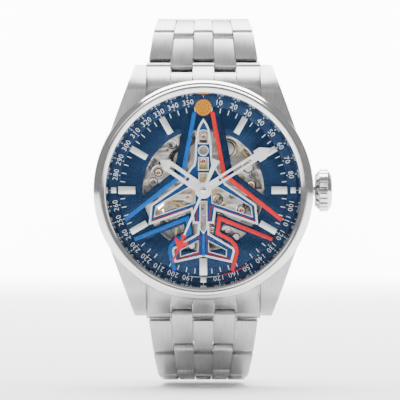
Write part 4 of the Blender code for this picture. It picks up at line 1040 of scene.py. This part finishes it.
def make_case_back():
    """The back ring with its opening notches, and the window in it."""
    profile = [
        (13.45, 1.4), (19.55, 1.4), (19.6, 1.1), (19.2, 0.5), (18.7, 0.06), (18.4, 0.0), (14.2, 0.0),
        (14.0, 0.12), (13.6, 0.12), (13.45, 0.2),
    ]
    ring = turned(profile, 160)
    for index in range(BACK_NOTCHES):
        notch = box((17.6, -1.1, -0.5), (19.9, 1.1, 0.35))
        notch.transform(Matrix.Rotation(TAU * (index + 0.5) / BACK_NOTCHES, 4, "Z"))
        ring = modified(ring, tool=notch)
    add("back_ring", modified(ring, bevel=0.06), "back_steel",
        replaces=("case_back",))
    window = [(0, 1.0), (13.3, 1.0), (13.38, 0.9), (13.38, 0.12), (13.25, 0.0), (0, 0.0)]
    add("back_window", turned(window, 120, closed=False), "window_glass",
        replaces=("case_back_window",))


def make_movement_back():
    """What shows through the back: jewels and blued screws for the bridges, and the striped rotor."""
    settings, stones, heads = [], [], []
    flip = Matrix.Translation((0, 0, 2 * BRIDGE_BOTTOM)) @ Matrix.Diagonal((1, 1, -1, 1))
    for centre in ((0.0, -0.001), THIRD, ESCAPE, BALANCE, (-8.4, 6.2), (2.4, 9.8)):
        setting, stone = jewel(centre, BRIDGE_BOTTOM, 0.55)
        settings.append(moved(setting, flip))
        stones.append(moved(stone, flip))
    for x, y in ((-10.6, 3.6), (-4.6, 9.8), (9.6, -6.2), (8.4, 7.4), (-6.6, -9.9)):
        heads.append(moved(screw_head((x, y), BRIDGE_BOTTOM, 0.75, x), flip))
    for mesh in settings + stones + heads:
        mesh.flip_normals()
    add("back_jewel_settings", combined(*settings), "balance_gold")
    add("back_jewels", combined(*stones), "ruby")
    add("bridge_screws", combined(*heads), "blued_steel")
    half, bottom = ROTOR_HALF_ANGLE, ROTOR_BOTTOM
    windows = [arc(9.4, a, b, 14) + arc(4.0, b, a, 8) for a, b in ((-1.3, -0.5), (-0.38, 0.38), (0.5, 1.3))]
    web_outline = arc(10.4, -half, half, 60) + arc(2.4, half, -half, 24)
    web = plate(web_outline, bottom, ROTOR_WEB_TOP, windows, 0.03)
    rim_outline = arc(12.6, -half, half, 80) + arc(10.2, half, -half, 70)
    weight = plate(rim_outline, bottom, ROTOR_RIM_TOP, bevel=0.08)
    hub = turned([(1.45, 1.8), (2.6, 1.8), (2.6, 1.2), (1.45, 1.2)], 60)
    rotor = moved(combined(web, weight, hub), Matrix.Rotation(math.radians(-90), 4, "Z"))
    add("rotor_fine", rotor, "bridge", "rotor", replaces=("rotor",))


def make_crown():
    """The crown on its side: a domed end, flutes over a dark body whose colour paints the shade in their
    grooves, and a toothed collar over a dark core that paints the shade between its teeth.
    """
    profile = [
        (0, 24.62), (1.6, 24.62), (1.7, 24.55), (2.4, 24.55), (2.5, 24.62), (2.85, 24.6), (3.4, 24.3),
        (3.8, 23.98), (3.92, 23.8), (3.86, 23.7), (3.7, 23.66), (3.7, 22.2), (3.2, 22.05),
        (3.2, 21.95), (1.15, 21.6),
        (1.15, 22.75), (0.56, 22.75), (0.56, 23.4), (0, 23.4),
    ]
    parts = [turned(profile, 96, closed=False)]
    tip, groove_radius = CROWN_RADIUS - 0.06, 3.72
    shape = ((-0.36, tip), (-0.3, CROWN_RADIUS), (0.3, CROWN_RADIUS), (0.36, tip), (0.41, groove_radius),
             (0.59, groove_radius))
    outline = []
    for flute in range(CROWN_FLUTES):
        for share, radius in shape:
            outline.append(polar(radius, TAU * (flute + share) / CROWN_FLUTES))
    parts.append(plate(outline, 22.25, 23.78, [circle(2.0, 32)], 0.05))
    tooth_bottom, tooth_top, lean_per_height = 21.3, 22.15, 0.95
    for tooth in range(CROWN_TEETH):
        rib = plate(rectangle(2.2, 3.75, 0.42), tooth_bottom, tooth_top, bevel=0.06)
        for vertex in rib.vertices:
            if vertex.co.x > 3:
                vertex.co.x -= (tooth_top - vertex.co.z) * lean_per_height
        rib.transform(Matrix.Rotation(TAU * tooth / CROWN_TEETH, 4, "Z"))
        parts.append(rib)
    parts.append(turned([(1.2, 22.1), (3.0, 22.1), (2.3, 21.3), (1.2, 21.3)], 64))
    # Painted shade: a dark body under the flutes and a dark core under the teeth show through the gaps, where
    # shade falls.
    groove_shade = turned([(3.0, 22.2), (3.76, 22.3), (3.78, 23.5), (3.7, 23.62), (3.0, 23.62)], 96)
    collar_shade = turned([(1.3, 22.0), (3.3, 22.0), (2.75, 21.42), (1.3, 21.42)], 64)
    dark = along_x(combined(groove_shade, collar_shade), z=STEM_Z)
    add("crown_groove_shade", dark, "groove_shade", "crown")
    crown = along_x(combined(*parts), z=STEM_Z)
    add("crown_fine", crown, "polished_steel", "crown", replaces=("crown",))


# ---------------------------------------------------------------- bracelet
def bracelet_width(distance):
    """The bracelet's width at a distance from the case, down to where it stays narrow."""
    return max(NARROW_END, WIDE_END - TAPER_PER_LINK * distance / LINK_PITCH)


def rounded_end(centre, direction, count=9):
    """The end of a link's side profile, from its outer to its inner face."""
    points = []
    for index in range(count):
        angle = math.pi * index / (count - 1)
        reach = direction * LINK_END * math.sin(angle)
        points.append((centre + reach, LINK_HALF_THICKNESS * math.cos(angle)))
    return points


def flat_end(centre):
    return [(centre, LINK_HALF_THICKNESS), (centre, -LINK_HALF_THICKNESS)]


def column_spans():
    """The five columns in shares of the width: (low, high, is an outer-row column)."""
    centre = CENTRE_COLUMN / 2
    inner = 0.5 - OUTER_COLUMN
    return [(-0.5, -inner, True), (-inner, -centre, False), (-centre, centre, True), (centre, inner, False),
            (inner, 0.5, True)]


def column(low, high, profile, bevel=0.22):
    """One column of a link: a side profile with rounded edges, between two shares of the narrow width."""
    gap = 0.075
    mesh = extruded_along_x(profile, low * NARROW_END + gap, high * NARROW_END - gap)
    return modified(mesh, bevel=bevel, segments=2, angle=40)


def link_mesh(index, far_pin=True):
    """Five columns round a core, with the pin at the far end, tapered to the link's place."""
    first = index * LINK_PITCH
    near, far = 0.0, LINK_PITCH
    outer_profile = rounded_end(far, 1) + flat_end(near + LINK_END + LINK_GAP)[::-1]
    inner_profile = rounded_end(near, -1)[::-1] + flat_end(far - LINK_END - LINK_GAP)
    parts = []
    for low, high, is_outer in column_spans():
        profile = outer_profile if is_outer else inner_profile[::-1]
        parts.append(column(low, high, profile))
    core = box((-NARROW_END * 0.47, near + 1.4, -0.9), (NARROW_END * 0.47, far - 1.4, 0.9))
    if far_pin:
        half_pin = NARROW_END * 0.497
        parts.append(along_x(rod(PIN_RADIUS, -half_pin, half_pin, 20), y=far))
    mesh = combined(*parts, core)
    add_drawing_uv(mesh)
    for vertex in mesh.vertices:
        vertex.co.x *= bracelet_width(first + vertex.co.y) / NARROW_END
    return mesh


def half_turn(side):
    """Nothing for the 12 o'clock half (1), and half a turn about Z for the 6 o'clock half (-1)."""
    return Matrix.Rotation(0.0 if side > 0 else math.pi, 4, "Z")


def link_place(prefix, number, side):
    """From a link's drawing, along +Y from its near pin, to its place, sloping to the next hinge."""
    _, y, z = joint_point(f"{prefix}_hinge_{number}")
    if number == LINKS_PER_SIDE and side < 0:
        tilt = LAST_LINK_TILT  # no hinge follows this link, because the loop is cut here
    else:
        last = number == LINKS_PER_SIDE
        _, next_y, next_z = joint_point("clasp_cover_hinge" if last else f"{prefix}_hinge_{number + 1}")
        tilt = math.atan2(z - next_z, (next_y - y) * side)
    return Matrix.Translation((0, y, z)) @ (half_turn(side) @ Matrix.Rotation(-tilt, 4, "X"))


def make_links():
    for prefix, side in (("top", 1), ("bottom", -1)):
        for number in range(1, LINKS_PER_SIDE + 1):
            name = f"link_{prefix}_{number}"
            mesh = link_mesh(number - 1, side > 0 or number < LINKS_PER_SIDE)
            place = link_place(prefix, number, side)
            add(f"{name}_columns", mesh, "link_steel", f"{prefix}_{number}", place, replaces=(name,))


def make_end_links():
    """The fixed links between the lugs, cut to the round case."""
    _, pin_y, pin_z = joint_point("top_hinge_1")
    upper = [(15, 7.7), (18, 7.5), (19.6, 7.2), (20.8, 6.65), (21.8, 5.95), (22.6, 5.1)]
    knuckle = [(pin_y + s, pin_z + h) for s, h in rounded_end(0, 1)]
    lower = [(19.9, 1.4), (17.6, 2.2), (15, 2.6)]
    root = pin_y - LINK_END - LINK_GAP
    for name, side in (("end_link_top", 1), ("end_link_bottom", -1)):
        parts = []
        for low, high, is_outer in column_spans():
            if is_outer:
                profile = upper + knuckle + lower
            else:
                profile = upper + [(root, 4.9), (root, 1.35)] + lower
            left = 0.07 if low > -0.5 else -0.05
            right = 0.07 if high < 0.5 else -0.05
            mesh = extruded_along_x(profile, low * END_LINK_WIDTH + left, high * END_LINK_WIDTH - right)
            mesh = modified(mesh, tool=rod(CASE_RADIUS + 0.08, 0, 9, 240))
            parts.append(modified(mesh, bevel=0.15, segments=2, angle=38))
        parts.append(along_x(rod(PIN_RADIUS, -10.4, 10.4, 20), y=pin_y, z=pin_z))
        add(f"{name}_columns", combined(*parts), "link_steel", "case", half_turn(side), replaces=(name,))


# ---------------------------------------------------------------- finishing the CAD shapes that stay
def cad_material(name):
    """A finished material for a node without UVs: its drawing coordinates come from the node's own place."""
    made = MATERIALS[name].copy()
    made.name = "cad_" + name
    tree = made.node_tree
    for uv in [node for node in tree.nodes if node.bl_idname == "ShaderNodeUVMap"]:
        coordinates = tree.nodes.new("ShaderNodeTexCoord")
        flat = tree.nodes.new("ShaderNodeMapping")
        flat.inputs["Scale"].default_value = (1000, 0, 1000)
        flat.inputs["Rotation"].default_value = (-math.pi / 2, 0, 0)
        tree.links.new(coordinates.outputs["Object"], flat.inputs["Vector"])
        for link in list(uv.outputs[0].links):
            tree.links.new(flat.outputs[0], link.to_socket)
        tree.nodes.remove(uv)
    return made


def finish_cad_nodes():
    """Materials for the nodes that keep their CAD shape."""
    looks = {
        "polished_steel": ("crown_tube", "spring_bar_top", "spring_bar_bottom", "rotor_axle", "clasp_blade_1",
                           "clasp_blade_2", "clasp_button_right", "clasp_button_left"),
        "link_steel": ("clasp_cover",),
        "bridge": ("barrel_bridge", "train_bridge", "balance_cock"),
        "nickel": ("escape_wheel", "winding_stem", "winding_pinion", "mainspring", "barrel_arbor",
                   "pallet_fork", "cannon_pinion", "ratchet_wheel", "crown_wheel", "click"),
        "brass": ("mainspring_barrel", "centre_wheel", "fourth_wheel", "minute_wheel", "hour_wheel"),
    }
    for name, nodes in looks.items():
        material = cad_material(name)
        for node in nodes:
            for slot in frame["nodes"][node].material_slots:
                slot.material = material


# ---------------------------------------------------------------- studio
def make_studio():
    """Pale floor and backdrop in one sweep, soft lights, and the camera in front of the dial."""
    low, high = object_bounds()
    floor_z = low[2] - 0.0008
    depth, back, radius = 2.4, 1.6, 0.3
    path = [(-depth, floor_z), (back - radius, floor_z)]
    for index in range(1, 17):
        angle = math.pi / 2 * index / 16
        path.append((back - radius + radius * math.sin(angle), floor_z + radius - radius * math.cos(angle)))
    path.append((back, floor_z + 1.2))
    mesh = bpy.data.meshes.new("studio_sweep")
    work = bmesh.new()
    rows = [[work.verts.new((x, y, z)) for y, z in path] for x in (-2.2, 2.2)]
    for index in range(len(path) - 1):
        work.faces.new((rows[0][index], rows[1][index], rows[1][index + 1], rows[0][index + 1]))
    work.to_mesh(mesh)
    work.free()
    mesh.shade_smooth()
    sweep = bpy.data.objects.new("studio_sweep", mesh)
    shader = Shader("studio_paper", (0.93, 0.93, 0.93), 0.8)
    paper = shader.noise(shader.object_space(4.0), 1.0, 2.0)
    shader.colour(shader.ramp(paper, (0.3, (0.92, 0.92, 0.92)), (0.7, (0.94, 0.94, 0.94))))
    mesh.materials.append(shader.material)
    bpy.context.scene.collection.objects.link(sweep)

    def area(name, location, size, power, target=(0, 0, 0)):
        data = bpy.data.lights.new(name, "AREA")
        data.shape = "RECTANGLE"
        data.size, data.size_y = size
        data.energy = power
        light = bpy.data.objects.new(name, data)
        light.location = location
        direction = Vector(target) - Vector(location)
        light.rotation_euler = direction.to_track_quat("-Z", "Y").to_euler()
        bpy.context.scene.collection.objects.link(light)

    area("key", (-0.36, -0.8, 0.45), (0.5, 0.4), 0.9)
    area("fill", (0.6, -0.4, 0.05), (0.2, 0.5), 0.45)
    area("front", (0.1, -0.95, 0.62), (0.7, 0.25), 0.6)
    area("floor_light", (0.0, 0.55, 0.9), (1.2, 1.4), 60.0, (0, 0.6, 0))
    for side in (-1, 1):
        area("wall_light", (side * 0.5, 1.2, 0.3), (0.3, 0.6), 34.0, (side * 0.15, 1.6, 0.1))

    world = bpy.data.worlds.new("studio")
    bpy.context.scene.world = world
    world.use_nodes = True
    nodes, links = world.node_tree.nodes, world.node_tree.links
    coordinates = nodes.new("ShaderNodeTexCoord")
    split = nodes.new("ShaderNodeSeparateXYZ")
    ramp = nodes.new("ShaderNodeValToRGB")
    elements = ramp.color_ramp.elements
    elements.new(0.5)
    for element, (position, value) in zip(elements, ((0.0, 0.5), (0.5, 0.75), (1.0, 1.0))):
        element.position = position
        element.color = (value, value, value * 1.01, 1)
    shift = nodes.new("ShaderNodeMapRange")
    shift.inputs["From Min"].default_value = -1
    links.new(coordinates.outputs["Generated"], split.inputs[0])
    links.new(split.outputs["Z"], shift.inputs["Value"])
    links.new(shift.outputs[0], ramp.inputs["Fac"])
    links.new(ramp.outputs["Color"], nodes["Background"].inputs["Color"])
    nodes["Background"].inputs["Strength"].default_value = 0.38

    data = bpy.data.cameras.new("camera")
    data.lens = 400
    data.clip_end = 20
    camera = bpy.data.objects.new("camera", data)
    frame_width = 0.0764
    distance = frame_width * data.lens / data.sensor_width
    camera.location = (-0.00065, -distance - 0.008, -0.00187)
    camera.rotation_euler = (math.pi / 2, 0, 0)
    bpy.context.scene.collection.objects.link(camera)
    bpy.context.scene.camera = camera


make_dial_ring()
make_plane()
make_trails()
make_markers()
make_printing()
make_gold_disc()
make_movement_front()
make_train()
make_hands()
make_case()
make_case_back()
make_movement_back()
make_crown()
make_end_links()
make_links()
finish_cad_nodes()
make_studio()
